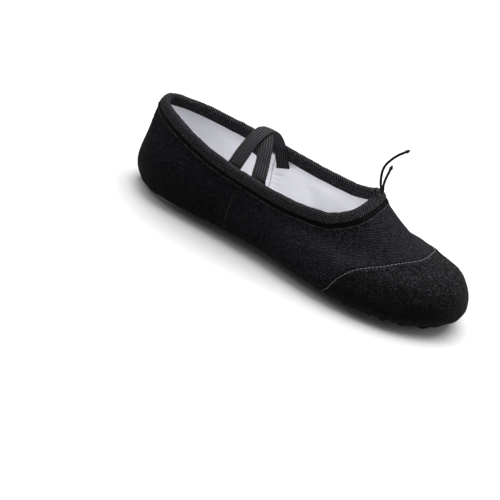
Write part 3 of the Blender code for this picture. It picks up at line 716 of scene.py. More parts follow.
US = station_list()
NK = len(US)
Q, ARC = section_lines(outlines(US), 40)
TOTAL, A_EDGE, A_WIDE = ARC[-1], ARC[40], ARC[80]
A_LOW, A_HIGH = TOTAL - TAPE_DROP, TOTAL - EDGE_DROP
WANT = [A_EDGE * f for f in np.linspace(0, 1, 16)[:-1]]
WANT += [A_EDGE + (A_WIDE - A_EDGE) * f for f in np.linspace(0, 1, 13)[:-1]]
WANT += [A_WIDE + (A_LOW - A_WIDE) * f for f in np.linspace(0, 1, 51)[:-1]]
WANT += [A_LOW + (A_HIGH - A_LOW) * f for f in np.linspace(0, 1, 7)]
WANT = np.array(WANT)
GRID = rows_from(Q, ARC, WANT)
NR = GRID.shape[0]
dU = np.roll(GRID, -1, 1) - np.roll(GRID, 1, 1)
dV = np.gradient(GRID, axis=0)
GN = unit(np.cross(dV, dU))
centre = np.stack([np.clip(GRID[..., 0], -80, 70), 0 * GRID[..., 0], 0 * GRID[..., 0] + 25], -1)
flip = ((GRID - centre) * GN).sum(-1) < 0
GN[flip] *= -1
GN[0] = (0, 0, -1)
GDROP = TOTAL[None, :] - WANT
GFE = WANT / A_EDGE[None, :]
SIDE = np.where(US < 1, -1.0, 1.0)
T01 = np.minimum(US, 2 - US)

# distance round the outline, from the middle of the toe, at the level of the sole's edge
def loop_distance(row):
    p = GRID[row]
    half = NK // 2
    d = np.zeros(NK)
    for k in range(1, half + 1):
        d[k] = d[k - 1] + np.linalg.norm(p[k] - p[k - 1])
    for k in range(half + 1, NK):
        d[k] = d[NK - k]
    return d


PHI_EDGE = loop_distance(15)
PHI_TOP = loop_distance(NR - 1)


def relief(p, drop, t01):
    """Common waviness of the walls, outwards in mm: canvas, lining and tape share it."""
    z = p[..., 2]
    body = ramp(z, 6, 20)
    out = 0.55 * wob(p, 46, 11) * body * ramp(drop, 2, 16)
    out = out + 0.22 * wob(p * np.array([1.0, 1.0, 0.5]), 15, 12) * body * ramp(drop, 6, 20)
    front = ramp(p[..., 0], -10, 30)
    gather = np.exp(-np.maximum(drop - 8, 0) / 9.0) * ramp(drop, 1.0, 8.0)
    out = out + gather * (0.16 + 0.22 * front) * wob(p * np.array([1.0, 1.0, 0.12]), 8.5, 13)
    x = p[..., 0] - SHIFT_X
    seam = np.exp(-((x - SIDE_SEAM_X) / 7.0) ** 2) * body
    out = out + 0.28 * seam * np.sin(drop * 2 * math.pi / 6.5 + 1.2)
    return out


def toe_seam(p):
    y = p[:, 1] - 6.0
    low = 13.0 - p[:, 2]
    far = y - 14.0
    w = np.where(y > 0, 0.9 * (far + np.sqrt(far * far + 9.0) - 0.318), -y)
    w = w + 0.55 * (low + np.sqrt(low * low + 4.0))
    return p[:, 0] - SHIFT_X - (86.5 - 40.0 * (w / 48.0) ** 1.8)


def side_seam(p):
    return p[:, 0] - SHIFT_X - SIDE_SEAM_X


RNG = np.random.default_rng(5)
PLEATS = []
for i in range(-9, 10):
    PLEATS.append((i * 8.4 + RNG.uniform(-2.6, 2.6), RNG.uniform(0.35, 1.25), RNG.choice([-1, 1]) * RNG.uniform(0.6, 1.0),
                   RNG.uniform(0, 5)))


def pleat_field():
    """Folds of the toe leather drawn in under the sole, radiating from the patch."""
    phi = PHI_EDGE * SIDE                      # signed, mm
    out = np.zeros((NR, NK))
    e = WANT - A_EDGE[None, :]
    for c, amp, way, reach in PLEATS:
        d = (phi - c)[None, :] + 0.0 * e
        d = d + 0.10 * np.maximum(e, 0) * way
        ridge = np.exp(-(d / 1.25) ** 2) - 0.45 * np.exp(-((d - 2.3 * way) / 1.5) ** 2)
        env = ramp(e, -14, -4) * (1 - ramp(e, 1 + reach, 13 + 1.4 * reach))
        side_fade = 1 - ramp(abs(c), 70, 90)
        out += amp * ridge * env * (0.35 + 0.65 * side_fade)
    return np.maximum(out * 1.30, -0.66)


PLEAT = pleat_field()
GREL = relief(GRID, GDROP, T01[None, :])
ay, z = np.abs(GRID[..., 1]), GRID[..., 2]
WZ = np.interp(US, US, GRID[27, :, 2])[None, :]
GQ = np.where(z > WZ, ay - z, ay + z - 2 * WZ)
GP = GRID[..., 0]


def cloth_grid():
    n = NK
    ident = -np.ones((n, NR), int)
    cols = np.stack([GRID[..., 0], GRID[..., 1], GRID[..., 2], GN[..., 0], GN[..., 1], GN[..., 2],
                     GDROP, GFE, GREL, PLEAT, GP, GQ], -1)
    verts = []
    for k in range(n):
        for r in range(NR):
            if r == 0 and k > n // 2:
                ident[k, 0] = ident[n - k, 0]
                continue
            ident[k, r] = len(verts)
            verts.append(cols[r, k])
    faces = []
    for k in range(n):
        k2 = (k + 1) % n
        for r in range(NR - 1):
            f = (ident[k, r], ident[k2, r], ident[k2, r + 1], ident[k, r + 1])
            if len(set(f)) == 4:
                faces.append(f)
            else:
                g = tuple(dict.fromkeys(f))
                if len(g) == 3:
                    faces.append(g)
    return np.array(verts), faces


CV, CF = cloth_grid()


def clip(verts, faces, g):
    val = g(verts)
    val = np.where(np.abs(val) < 1e-6, 1e-6, val)
    pos = val > 0
    new, made, out = [], {}, []
    base = len(verts)
    for f in faces:
        s = [pos[i] for i in f]
        if all(s):
            out.append(f)
            continue
        if not any(s):
            continue
        poly = []
        for i, a in enumerate(f):
            b = f[(i + 1) % len(f)]
            if pos[a]:
                poly.append(a)
            if pos[a] != pos[b]:
                key = (min(a, b), max(a, b))
                if key not in made:
                    lo, hi = key
                    t = val[lo] / (val[lo] - val[hi])
                    made[key] = base + len(new)
                    new.append(verts[lo] * (1 - t) + verts[hi] * t)
                poly.append(made[key])
        if len(poly) >= 3:
            out.append(tuple(poly))
    return (np.concatenate([verts, np.array(new)]) if new else verts), out


def compact(v, f):
    used = np.unique(np.concatenate([np.array(x) for x in f]))
    index = -np.ones(len(v), int)
    index[used] = np.arange(len(used))
    return v[used], [tuple(index[i] for i in face) for face in f]


def boundary(faces):
    edges = {}
    for face in faces:
        for i, a in enumerate(face):
            edges[(a, face[(i + 1) % len(face)])] = True
    return [e for e in edges if (e[1], e[0]) not in edges]


def panel(name, cuts, outer, inner, mat, extra_out=None, extra_in=None, start=None):
    """A sewn panel: the surface cut by each rule, shaped and given a thickness."""
    v, f = (CV, CF) if start is None else start
    for g in cuts:
        v, f = clip(v, f, g)
    v, f = compact(v, f)
    n = len(v)
    eo = v[:, 8] + (extra_out(v) if extra_out else 0.0)
    ei = v[:, 8] + (extra_in(v) if extra_in else 0.0)
    nrm = unit(v[:, 3:6])
    top = v[:, :3] + nrm * (outer + eo)[:, None]
    low = v[:, :3] + nrm * (inner + ei)[:, None]
    faces = list(f) + [tuple(n + i for i in reversed(face)) for face in f]
    faces += [(b, a, n + a, n + b) for a, b in boundary(f)]
    fab = np.stack([v[:, 10], v[:, 11], v[:, 6]], 1)
    return make(name, np.concatenate([top, low]), faces, mat, np.concatenate([fab, fab]))


def ahead(g, gap=0.06):
    return lambda v: g(v[:, :3]) - gap


def behind(g, gap=0.06):
    return lambda v: -g(v[:, :3]) - gap


def left(gap=0.06):
    return lambda v: v[:, 1] - gap


def right(gap=0.06):
    return lambda v: -v[:, 1] - gap


def seam_shape(d, dip=0.55, puff=0.30, width=0.8):
    return -dip * np.exp(-(d / width) ** 2) + puff * np.exp(-((np.abs(d) - 2.3) / 1.5) ** 2)


def toe_dist(v):
    """Distance in front of the toe cap seam, along the surface."""
    p, n = v[:, :3], unit(v[:, 3:6])
    g = toe_seam(p)
    grad = np.stack([(toe_seam(p + e) - toe_seam(p - e)) / 0.2 for e in np.eye(3) * 0.1], 1)
    flat = grad - n * (grad * n).sum(1)[:, None]
    return g / np.clip(np.linalg.norm(flat, axis=1), 0.5, 6.0)


def common_seams(v):
    """How the outer canvas sinks at each seam, in mm."""
    out = seam_shape(side_seam(v[:, :3])) * ramp(v[:, 6], 9, 13) * ramp(v[:, 2], 3, 6)
    heel = (1 - ramp(v[:, 0], -100, -94)) * ramp(v[:, 2], 3, 6) * ramp(v[:, 6], 9, 13)
    out += seam_shape(v[:, 1]) * heel
    arch = (1 - ramp(v[:, 2], 8, 12)) * ramp(v[:, 0], -62, -54) * (1 - ramp(v[:, 0], 20, 28))
    out += seam_shape(v[:, 1], 0.5, 0.3) * arch
    # the fold of canvas that holds the lower edge of the tape
    out += 0.62 * np.exp(-((v[:, 6] - 10.4) / 0.75) ** 2) * ramp(v[:, 2], 15, 25)
    return out


def toe_out(v):
    d = toe_dist(v)
    edge = -0.35 * np.exp(-(d / 0.8) ** 2) + 0.45 * np.exp(-((d - 2.0) / 1.4) ** 2)
    lump = 0.16 * wob(v[:, :3], 5.0, 21) + 0.07 * wob(v[:, :3], 2.4, 22, 7)
    return v[:, 9] + edge * ramp(v[:, 2], 2, 5) + lump * ramp(d, 0.5, 3)


def vamp_out(v):
    d = toe_dist(v)
    out = common_seams(v)
    out += (-0.55 * np.exp(-(d / 0.9) ** 2) + 0.22 * np.exp(-((np.abs(d) - 2.2) / 1.3) ** 2)) * ramp(v[:, 2], 2, 5)
    pull = np.exp(-np.abs(d) / 5.0) * 0.14 * wob(v[:, :3] * np.array([0.3, 1, 1]), 7, 31)
    return out + pull + v[:, 9] * np.clip(1 - np.abs(d) / 18.0, 0, 1) * 0.8


def quarter_out(v):
    out = common_seams(v)
    low = 1 - ramp(v[:, 2], 10, 22)
    out += 0.30 * wob(v[:, :3] * np.array([1, 1, 0.3]), 9, 41) * low * (1 - ramp(v[:, 0], -96, -80))
    return out


def lining_in(v):
    """Soft folds of the lining, standing into the shoe."""
    body = ramp(v[:, 2], 5, 14) * ramp(v[:, 6], 8, 16)
    f = 1.25 * np.clip(wob(v[:, :3] * np.array([1.0, 0.7, 0.6]), 26, 51, 4), 0, 2)
    f += 0.45 * np.clip(wob(v[:, :3] * np.array([1.3, 1, 0.4]), 12, 52), 0, 2)
    x = v[:, 0] - SHIFT_X
    seam = np.exp(-((x - SIDE_SEAM_X - 3) / 4.0) ** 2)
    pucker = 1.0 * seam * (0.5 + 0.5 * np.sin(v[:, 6] * 2 * math.pi / 4.2))
    line = -0.55 * np.exp(-((x - SIDE_SEAM_X) / 0.8) ** 2)
    deep = ramp(v[:, 2], 6, 15) * ramp(v[:, 6], 13, 22)
    lean = v[:, 0] + 0.35 * v[:, 2] + 1.6 * np.sin(v[:, 2] / 7.0)
    f = f + deep * (2.7 * np.exp(-((lean + 25.0) / 5.0) ** 2) + 2.2 * np.exp(-((lean - 1.0) / 6.0) ** 2)
                    + 1.6 * np.exp(-((lean - 30.0) / 8.0) ** 2)
                    + 1.8 * np.exp(-((lean + 74.0) / 7.0) ** 2)) / np.maximum(body, 0.3)
    return -(f * body + (pucker + line) * ramp(v[:, 2], 5, 10) + 0.10 * wob(v[:, :3], 8, 53) * body)


FORE_BODY, HEEL_BODY = "forefoot", "heel"


def settle(ob, body, cad):
    if body == "both":
        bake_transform(ob)
    else:
        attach(ob, body)
    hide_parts(*([cad] if isinstance(cad, str) else cad))
    return ob


settle(panel("toe_cap_suede", [ahead(toe_seam)], 0.0, -1.0, SUEDE, toe_out), "forefoot", "toe_cap")
settle(panel("vamp_cloth", [behind(toe_seam), ahead(side_seam)], 0.0, -1.0, CANVAS, vamp_out), "both",
       "vamp_canvas")
settle(panel("quarter_cloth_left", [behind(side_seam), left()], 0.0, -1.0, CANVAS, quarter_out), "heel",
       "quarter_left")
settle(panel("quarter_cloth_right", [behind(side_seam), right()], 0.0, -1.0, CANVAS, quarter_out), "heel",
       "quarter_right")
settle(panel("vamp_lining_cloth", [ahead(side_seam)], -1.3, -2.1, LINING, lining_in, lining_in), "both",
       "vamp_lining")
settle(panel("quarter_lining_cloth_left", [behind(side_seam), left()], -1.3, -2.1, LINING, lining_in, lining_in),
       "heel", "quarter_lining_left")
settle(panel("quarter_lining_cloth_right", [behind(side_seam), right()], -1.3, -2.1, LINING, lining_in, lining_in),
       "heel", "quarter_lining_right")


# -------------------------------------------------------------- foot pads
def pad_edge(v):
    return 0.0 * v[:, 0]


def pad(name, cuts, body, cad):
    """Thin pad: domed top, edges rolled down to a thin seam."""
    v, f = CV, CF
    for g in cuts:
        v, f = clip(v, f, g)
    v, f = compact(v, f)
    n = len(v)
    d = np.full(n, 99.0)
    d = np.minimum(d, (0.875 - v[:, 7]) * 34.0)
    for lim, sgn in ((24.0, 1), (-60.0, -1)):
        if (body == "forefoot") == (sgn == 1):
            d = np.minimum(d, (v[:, 0] - lim) * sgn)
    roll = np.sqrt(np.clip(1 - (1 - np.clip(d / 2.2, 0, 1)) ** 2, 0, 1))
    quilt = 0.10 * np.cos(v[:, 0] * 2 * math.pi / 9) * np.cos(v[:, 1] * 2 * math.pi / 9) * ramp(d, 2, 6)
    sew = -0.35 * np.exp(-((d - 3.4) / 0.6) ** 2)
    nrm = unit(v[:, 3:6])
    low = v[:, :3] + nrm * (-2.45)
    top = v[:, :3] + nrm * (-2.55 - 1.75 * roll + quilt * -1 - sew)[:, None]
    faces = [tuple(reversed(face)) for face in f] + [tuple(n + i for i in face) for face in f]
    faces = [tuple(face) for face in f] + [tuple(n + i for i in reversed(face)) for face in f]
    faces += [(b, a, n + a, n + b) for a, b in boundary(f)]
    fab = np.stack([v[:, 10], v[:, 11], np.zeros(n)], 1)
    ob = make(name, np.concatenate([low, top]), faces, FOAM, np.concatenate([fab, fab]))
    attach(ob, body)
    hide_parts(cad)
    return ob


pad("forefoot_pad", [lambda v: 0.875 - v[:, 7], lambda v: v[:, 0] - 24.0], "forefoot", "forefoot_insole")
pad("heel_pad", [lambda v: 0.875 - v[:, 7], lambda v: -60.0 - v[:, 0]], "heel", "heel_insole")


# ------------------------------------------------------------ binding tape
def even_stations(n):
    uu = np.linspace(0, 2, 4001)
    top = outlines(uu)[-1]
    d = np.concatenate([[0], np.cumsum(np.linalg.norm(np.diff(top, axis=0), axis=1))])
    s = np.arange(n) * d[-1] / n
    return np.interp(s, d, uu), s, d[-1]


NB = 1040
BU, BS, BL = even_stations(NB)
BF = edge_frames(BU)
S_SYM = np.minimum(BS, BL - BS)            # distance from the throat, either side
PROFILE = [(9.35, 0.52), (8.9, 0.80), (8.2, 0.72), (7.4, 0.66), (6.7, 0.55), (6.2, 0.72), (5.2, 0.80), (3.6, 0.78),
           (1.7, 0.60), (0.65, -0.10), (0.32, -1.05), (0.65, -2.0), (1.6, -2.72), (3.5, -2.86), (5.6, -2.86),
           (8.0, -2.84)]


def profile(count):
    p = np.array([(a, b, 0.0) for a, b in PROFILE])
    q, total = smooth_path(p, count)
    return q[:, :2], np.linspace(0, total, count)


PROF, PL = profile(41)
TOPI = int(np.argmin(PROF[:, 0]))


def tape():
    tb = BF[1] - BF[0]
    tdir = unit(tb)
    m = len(PROF)
    mid = np.zeros((NB, m, 3))
    y = wall_from(BF, 2.0, -1.0)[:, 1]
    x = wall_from(BF, 2.0, -1.0)[:, 0]
    front = (x > 20)
    knob = np.where(front, np.exp(-((y - 0.9) / 3.2) ** 4), 0.0)
    near = np.where(front, np.exp(-(np.abs(y - 4.0) / 14.0) ** 2), 0.0)
    for j, (a, b) in enumerate(PROF):
        mid[:, j] = wall_from(BF, a, b)
    # shared waviness of the wall
    for j, (a, b) in enumerate(PROF):
        base = wall_from(BF, max(a, EDGE_DROP), 0.0)
        rel = relief(base, np.full(NB, max(a, EDGE_DROP)), None)
        n = BF[3]
        mid[:, j] += n * rel[:, None]
    # the top edge rises and falls a little, and stands up where the string comes out
    wav = 0.30 * wob(wall_from(BF, 2.0, 0.0), 12, 61) + 0.16 * wob(wall_from(BF, 2.0, 0.0), 4.5, 62, 6)
    gath = near * 0.55 * np.sin(BS * 2 * math.pi / 3.1 + 0.8 * np.sin(BS / 2.3))
    for j, (a, b) in enumerate(PROF):
        up = 1 - ramp(np.array([a]), 0.5, 8.5)[0]
        lift = 1 - ramp(np.array([a]), 0.2, 5.2 if b > -1 else 6.0)[0]
        mid[:, j] += tdir * ((wav + 0.8 * gath) * up + knob * 3.3 * lift)[:, None]
        out = gath * 0.9 * (0.55 + 0.45 * up) * (1 if b > -1 else -0.6)
        mid[:, j] += BF[3] * (out + knob * lift * (2.9 if b > -1 else 1.7))[:, None]
    gu = np.roll(mid, -1, 0) - np.roll(mid, 1, 0)
    gv = np.gradient(mid, axis=1)
    nn = unit(np.cross(gu, gv))
    c = wall_from(BF, 3.0, -1.05)
    s = ((mid - c[:, None, :]) * nn).sum(-1)
    if s.mean() < 0:
        nn = -nn
    # diagonal ribs, rising forwards on the outside
    phase = (S_SYM[:, None] + PL[None, :] * 1.05) / 1.75
    fr = np.abs(((phase % 1.0) - 0.5) * 2)
    rib = 1 - fr ** 1.8
    zone = np.where(PL[None, :] < PL[TOPI], ramp(-PROF[None, :, 0], -6.9, -6.2), 1.0)
    rng = np.random.default_rng(3)
    uneven = 1 + 0.25 * wob(mid, 5, 63)
    h = 0.42 * rib * zone * uneven
    # fine ridges on the plain part
    fine = 0.05 * np.sin(phase * 2 * math.pi * 2.2) * (1 - zone)
    # end of the tape: overlapped join at the back
    lap = np.exp(-((S_SYM - S_SYM.max()) / 3.5) ** 8)[:, None] * 0.35 * (PL[None, :] < PL[-1])
    outp = mid + nn * (0.30 + h + fine + lap - 0.12)[..., None]
    inp = mid - nn * 0.34
    vv, ff = [], []
    keep = np.ones((NB, m), bool)
    # the slit
    sy = np.where(BS < BL / 2, BS, BS - BL)
    order = np.argsort(sy)
    order = order[np.abs(sy[order]) < 16]
    sy = (sy - np.interp(-SLIT_Y, -y[order], sy[order]))[:, None] * np.ones((1, m))
    outer = int(np.argmin(np.abs(PROF[:TOPI, 0] - 1.75)))
    le = (PL - PL[outer])[None, :] * np.ones((NB, 1))
    hole = (sy / 2.55) ** 2 + (le / 0.80) ** 2 - 1.0
    idx = np.arange(NB * m).reshape(NB, m)
    nxt = np.roll(idx, -1, 0)
    cols = np.concatenate([outp, inp, hole[..., None], S_SYM[:, None, None] * np.ones((1, m, 1)),
                           (PL[None, :, None] * np.ones((NB, 1, 1))), (rib * zone)[..., None]], -1).reshape(NB * m, 10)
    faces = [(idx[i, j], nxt[i, j], nxt[i, j + 1], idx[i, j + 1]) for i in range(NB) for j in range(m - 1)]
    v, f = clip(cols, faces, lambda q: q[:, 6])
    v, f = compact(v, f)
    n = len(v)
    allf = list(f) + [tuple(n + i for i in reversed(face)) for face in f]
    allf += [(b, a, n + a, n + b) for a, b in boundary(f)]
    fab = np.stack([v[:, 7], v[:, 8], v[:, 9]], 1)
    fab2 = fab.copy()
    fab2[:, 2] = 0.2
    return make("binding_tape", np.concatenate([v[:, :3], v[:, 3:6]]), allf, TAPE, np.concatenate([fab, fab2]))


settle(tape(), "both", "top_binding")


# --------------------------------------------------------- stitches on lines
def resample(p, n_vec, step):
    d = np.concatenate([[0], np.cumsum(np.linalg.norm(np.diff(p, axis=0), axis=1))])
    cnt = max(int(d[-1] / step), 2)
    s = np.linspace(0, d[-1], cnt)
    q = np.stack([np.interp(s, d, p[:, i]) for i in range(3)], 1)
    n = unit(np.stack([np.interp(s, d, n_vec[:, i]) for i in range(3)], 1))
    return q, n, s


def stitches(name, lines, pitch, length, r, high, sink, mat, seed=1, slant=0.0):
    parts = Parts()
    rng = np.random.default_rng(seed)
    for p, nv in lines:
        q, n, s = resample(p, nv, 0.25)
        total = s[-1]
        cnt = int(total / pitch)
        for i in range(cnt):
            a = i * pitch + rng.uniform(-0.05, 0.05) * pitch
            b = a + length
            if a < 0 or b > total:
                continue
            f = np.linspace(0, 1, 8)
            at = a + (b - a) * f
            pos = np.stack([np.interp(at, s, q[:, c]) for c in range(3)], 1)
            nn = unit(np.stack([np.interp(at, s, n[:, c]) for c in range(3)], 1))
            t = unit((pos[-1] - pos[0])[None, :])[0]
            sid = np.cross(nn, t)
            lift = -sink + (high + sink) * np.sin(math.pi * f) ** 0.6
            pos = pos + nn * lift[:, None] + sid * ((f - 0.5) * slant)[:, None]
            parts.add(*tube_mesh(pos, r * (0.75 + 0.25 * np.sin(math.pi * f)), 6, ref=nn[0]))
    return parts.build(name, mat)


def contour(g, keep=None):
    """Ordered points where g is zero on the shoe's surface: (x y z, normal, drop, relief ...) rows."""
    val = g(CV)
    val = np.where(np.abs(val) < 1e-9, 1e-9, val)
    links, pts = {}, {}
    for f in CF:
        cross = []
        for i, a in enumerate(f):
            b = f[(i + 1) % len(f)]
            if (val[a] > 0) != (val[b] > 0):
                key = (min(a, b), max(a, b))
                if key not in pts:
                    t = val[key[0]] / (val[key[0]] - val[key[1]])
                    pts[key] = CV[key[0]] * (1 - t) + CV[key[1]] * t
                cross.append(key)
        if len(cross) == 2:
            links.setdefault(cross[0], []).append(cross[1])
            links.setdefault(cross[1], []).append(cross[0])
    seen, lines = set(), []
    starts = [k for k, v in links.items() if len(v) == 1] + list(links)
    for st in starts:
        if st in seen:
            continue
        line, cur, prev = [st], st, None
        seen.add(st)
        while True:
            nxt = [k for k in links[cur] if k not in seen]
            if not nxt:
                break
            cur = nxt[0]
            seen.add(cur)
            line.append(cur)
        lines.append(np.array([pts[k] for k in line]))
    if keep is None:
        return lines
    out = []
    for ln in lines:
        ok = keep(ln)
        if ok[0] and ok[-1] and not ok.all():
            first = int(np.argmin(ok))
            ln, ok = np.roll(ln, -first, 0), np.roll(ok, -first)
        run = []
        for row, good in zip(ln, ok):
            if good:
                run.append(row)
            elif len(run) > 2:
                out.append(np.array(run))
                run = []
            else:
                run = []
        if len(run) > 2:
            out.append(np.array(run))
    return out


def on_cloth(lines, extra):
    """The seam's points at the canvas's outer face."""
    out = []
    for ln in lines:
        n = unit(ln[:, 3:6])
        out.append((ln[:, :3] + n * (ln[:, 8] + extra)[:, None], n))
    return out


toe_lines = contour(lambda v: toe_seam(v[:, :3]) - 0.15, keep=lambda r: r[:, 2] > 4.4)
settle(stitches("toe_seam_stitches", on_cloth(toe_lines, -0.15), 2.5, 1.95, 0.21, 0.20, 0.12, SEAM_THREAD, 2),
       "forefoot", "toe_cap_seam_thread")
side_lines = contour(lambda v: side_seam(v[:, :3]), keep=lambda r: (r[:, 2] > 4.6) & (r[:, 6] > 11.2))
for tag, sgn in (("left", 1), ("right", -1)):
    mine = [ln for ln in side_lines if ln[:, 1].mean() * sgn > 0]
    settle(stitches(f"side_seam_stitches_{tag}", on_cloth(mine, -0.30), 2.6, 2.3, 0.28, 0.26, 0.25, BLACK_THREAD, 3),
           "heel", f"side_seam_stitching_{tag}")
heel_lines = contour(lambda v: v[:, 1] + 1e-4, keep=lambda r: (r[:, 0] < -98) & (r[:, 2] > 4.6) & (r[:, 6] > 11.2))
settle(stitches("heel_seam_stitches", on_cloth(heel_lines, -0.30), 2.6, 2.3, 0.28, 0.26, 0.25, BLACK_THREAD, 4),
       "heel", "heel_seam_stitching")
arch_x = np.linspace(-54.5, 21.0, 90)
arch = np.stack([arch_x, 0 * arch_x, np.full(90, 2.2 + 0.30)], 1)
settle(stitches("arch_seam_stitches", [(arch, np.tile([0.0, 0.0, -1.0], (90, 1)))], 2.6, 2.3, 0.28, 0.26, 0.25,
                BLACK_THREAD, 5), "both", "arch_seam_stitching")


def binding_line(a, b):
    base = wall_from(BF, a, 0.0)
    rel = relief(base, np.full(NB, a), None)
    p = wall_from(BF, a, b) + BF[2] * rel[:, None]
    return [(np.concatenate([p, p[:1]]), np.concatenate([BF[2], BF[2][:1]]))]


settle(stitches("binding_stitches", binding_line(10.1, 0.42), 2.3, 1.75, 0.22, 0.22, 0.2, BLACK_THREAD, 6),
       "both", "binding_stitching")


# ---------------------------------------------- drawstring inside the fold
def string_loop():
    a_u = channel(13.5, -1) * 2.0 / CK
    b_u = channel(13.5, 1) * 2.0 / CK
    uu = np.linspace(a_u, b_u, 420)
    fr = edge_frames(uu)
    p = wall_from(fr, STRING_A, STRING_B)
    rel = relief(wall_from(fr, EDGE_DROP, 0.0), np.full(len(uu), EDGE_DROP), None)
    p = p + fr[3] * rel[:, None] * ramp(np.abs(p[:, 1]), 13, 18)[:, None]
    verts, faces, fab = tube_mesh(p, STRING_R, 8, twist=1.25, plies=4, ply_depth=0.13)
    return make("string_in_fold", verts, faces, CORD, fab)


settle(string_loop(), "both", "drawstring")


# ---------------------------------------------------- crossed ribbed elastics
def wall_u(x, side):
    lo, hi = 0.18, 0.93
    for _ in range(40):
        mid = (lo + hi) / 2
        if wall_from(edge_frames(np.array([mid])), 2.0, 0.0)[0, 0] > x:
            lo = mid
        else:
            hi = mid
    return lo if side < 0 else 2 - lo


STRAP_W, STRAP_T = 10.0, 1.1


RISE = 18.8


def strap(name, runs, under, cad, flat_end_seed):
    ends = []
    for (x, slant), side in zip(runs, (-1, 1)):
        row = []
        for a, b in ((14.3, -3.75), (11.6, -3.9), (8.6, -4.05), (5.5, -4.15), (2.5, -4.3), (0.0, -4.8)):
            fr = edge_frames(np.array([wall_u(x + slant * a + SHIFT_X, side)]))
            row.append(wall_from(fr, a, b)[0])
        ends.append(row)
    n_in, f_in = ends[0], ends[1]
    n1, f1 = n_in[-1], f_in[-1]
    half = (f1[1] - n1[1]) / 2
    path = list(n_in)
    for deg in range(12, 180, 6):
        t = -math.cos(math.radians(deg))
        p = n1 + (f1 - n1) * (t + 1) / 2
        slope = -RISE * 1.9 * math.copysign(abs(t) ** 0.9, t) / half
        fade = min(max((abs(t) - 0.72) / 0.28, 0.0), 1.0)
        drop = under * (1 - fade * fade * (3 - 2 * fade)) / math.hypot(1.0, slope)
        path.append(np.array([p[0], p[1] + drop * slope, p[2] + RISE * (1 - abs(t) ** 1.9) - drop]))
    path += list(reversed(f_in))
    cnt = 300
    line, total = smooth_path(path, cnt)
    t = tangents(line)
    lay = np.array([1.0, 0, 0]) - t * t[:, :1]
    lay = unit(lay)
    nn = unit(np.cross(lay, t))
    s = np.linspace(0, total, cnt)
    wn = 43
    wv = np.linspace(-1, 1, wn)
    ribs = 6
    prof = np.abs(np.sin((wv + 1) / 2 * math.pi * ribs)) ** 0.75
    edge = 1 - np.abs(wv) ** 14
    rng = np.random.default_rng(flat_end_seed)
    verts, fab = [], []
    for i in range(cnt):
        # ribbon narrows a touch under tension at the crown, and its edges wander
        w = STRAP_W / 2 * (1 - 0.05 * math.sin(math.pi * i / (cnt - 1))) + 0.10 * math.sin(s[i] / 3.1 + flat_end_seed) \
            + 0.06 * math.sin(s[i] * 2.1)
        cup = 0.35 * (wv ** 2) * math.sin(math.pi * i / (cnt - 1))
        pick = 0.035 * math.sin(s[i] * 2 * math.pi / 0.9)
        hi = 0.20 + (0.34 * prof + pick) * 1.0
        hi = hi * np.maximum(edge, 0.25)
        up = line[i] + np.outer(wv * w, lay[i]) + np.outer(hi - cup, nn[i])
        dn = line[i] + np.outer(wv[::-1] * w, lay[i]) + np.outer(-hi - cup, nn[i])
        verts.append(np.concatenate([up, dn]))
        fa = np.stack([np.full(wn, s[i]), wv * w, prof * edge], 1)
        fab.append(np.concatenate([fa, fa[::-1]]))
    m = 2 * wn
    verts, fab = np.concatenate(verts), np.concatenate(fab)
    faces = []
    for i in range(cnt - 1):
        for c in range(m):
            d = (c + 1) % m
            faces.append((i * m + c, i * m + d, (i + 1) * m + d, (i + 1) * m + c))
    ends_f = []
    for c in range(wn - 1):
        ends_f.append((c + 1, c, m - 1 - c, m - 2 - c))
        o = (cnt - 1) * m
        ends_f.append((o + c, o + c + 1, o + m - 2 - c, o + m - 1 - c))
    ob = make(name, verts, faces + ends_f, [ELASTIC, RAW_END], fab)
    mi = np.zeros(len(faces) + len(ends_f), np.int32)
    mi[len(faces):] = 1
    ob.data.polygons.foreach_set("material_index", mi)
    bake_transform(ob)
    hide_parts(*cad)
    return ob, line, lay, nn, s


ELASTICS = [strap("elastic_a", ((-45.0, -0.25), (-36.0, 0.40)), 0.0,
                  ("strap_a", "strap_a_end_near", "strap_a_end_far"), 1),
            strap("elastic_b", ((-26.8, 0.34), (-51.0, -0.22)), 1.85,
                  ("strap_b", "strap_b_end_near", "strap_b_end_far"), 2)]


# ------------------------------------------------------------- sole patches
def egg(x_toe, x_heel, half_w, blunt, count):
    t = np.arange(count) * 2 * math.pi / count
    cx, a = (x_toe + x_heel) / 2, (x_toe - x_heel) / 2
    c, s = np.cos(t), np.sin(t)
    return np.stack([cx + a * c, half_w * s * (1 + blunt * c - 0.5 * blunt * blunt * (1 - c * c))], 1)


def inset(pts, d):
    tan = np.roll(pts, -1, 0) - np.roll(pts, 1, 0)
    tan /= np.linalg.norm(tan, axis=1)[:, None]
    d = np.asarray(d, float)
    d = d[:, None] if d.ndim else d
    return pts + np.stack([-tan[:, 1], tan[:, 0]], 1) * d


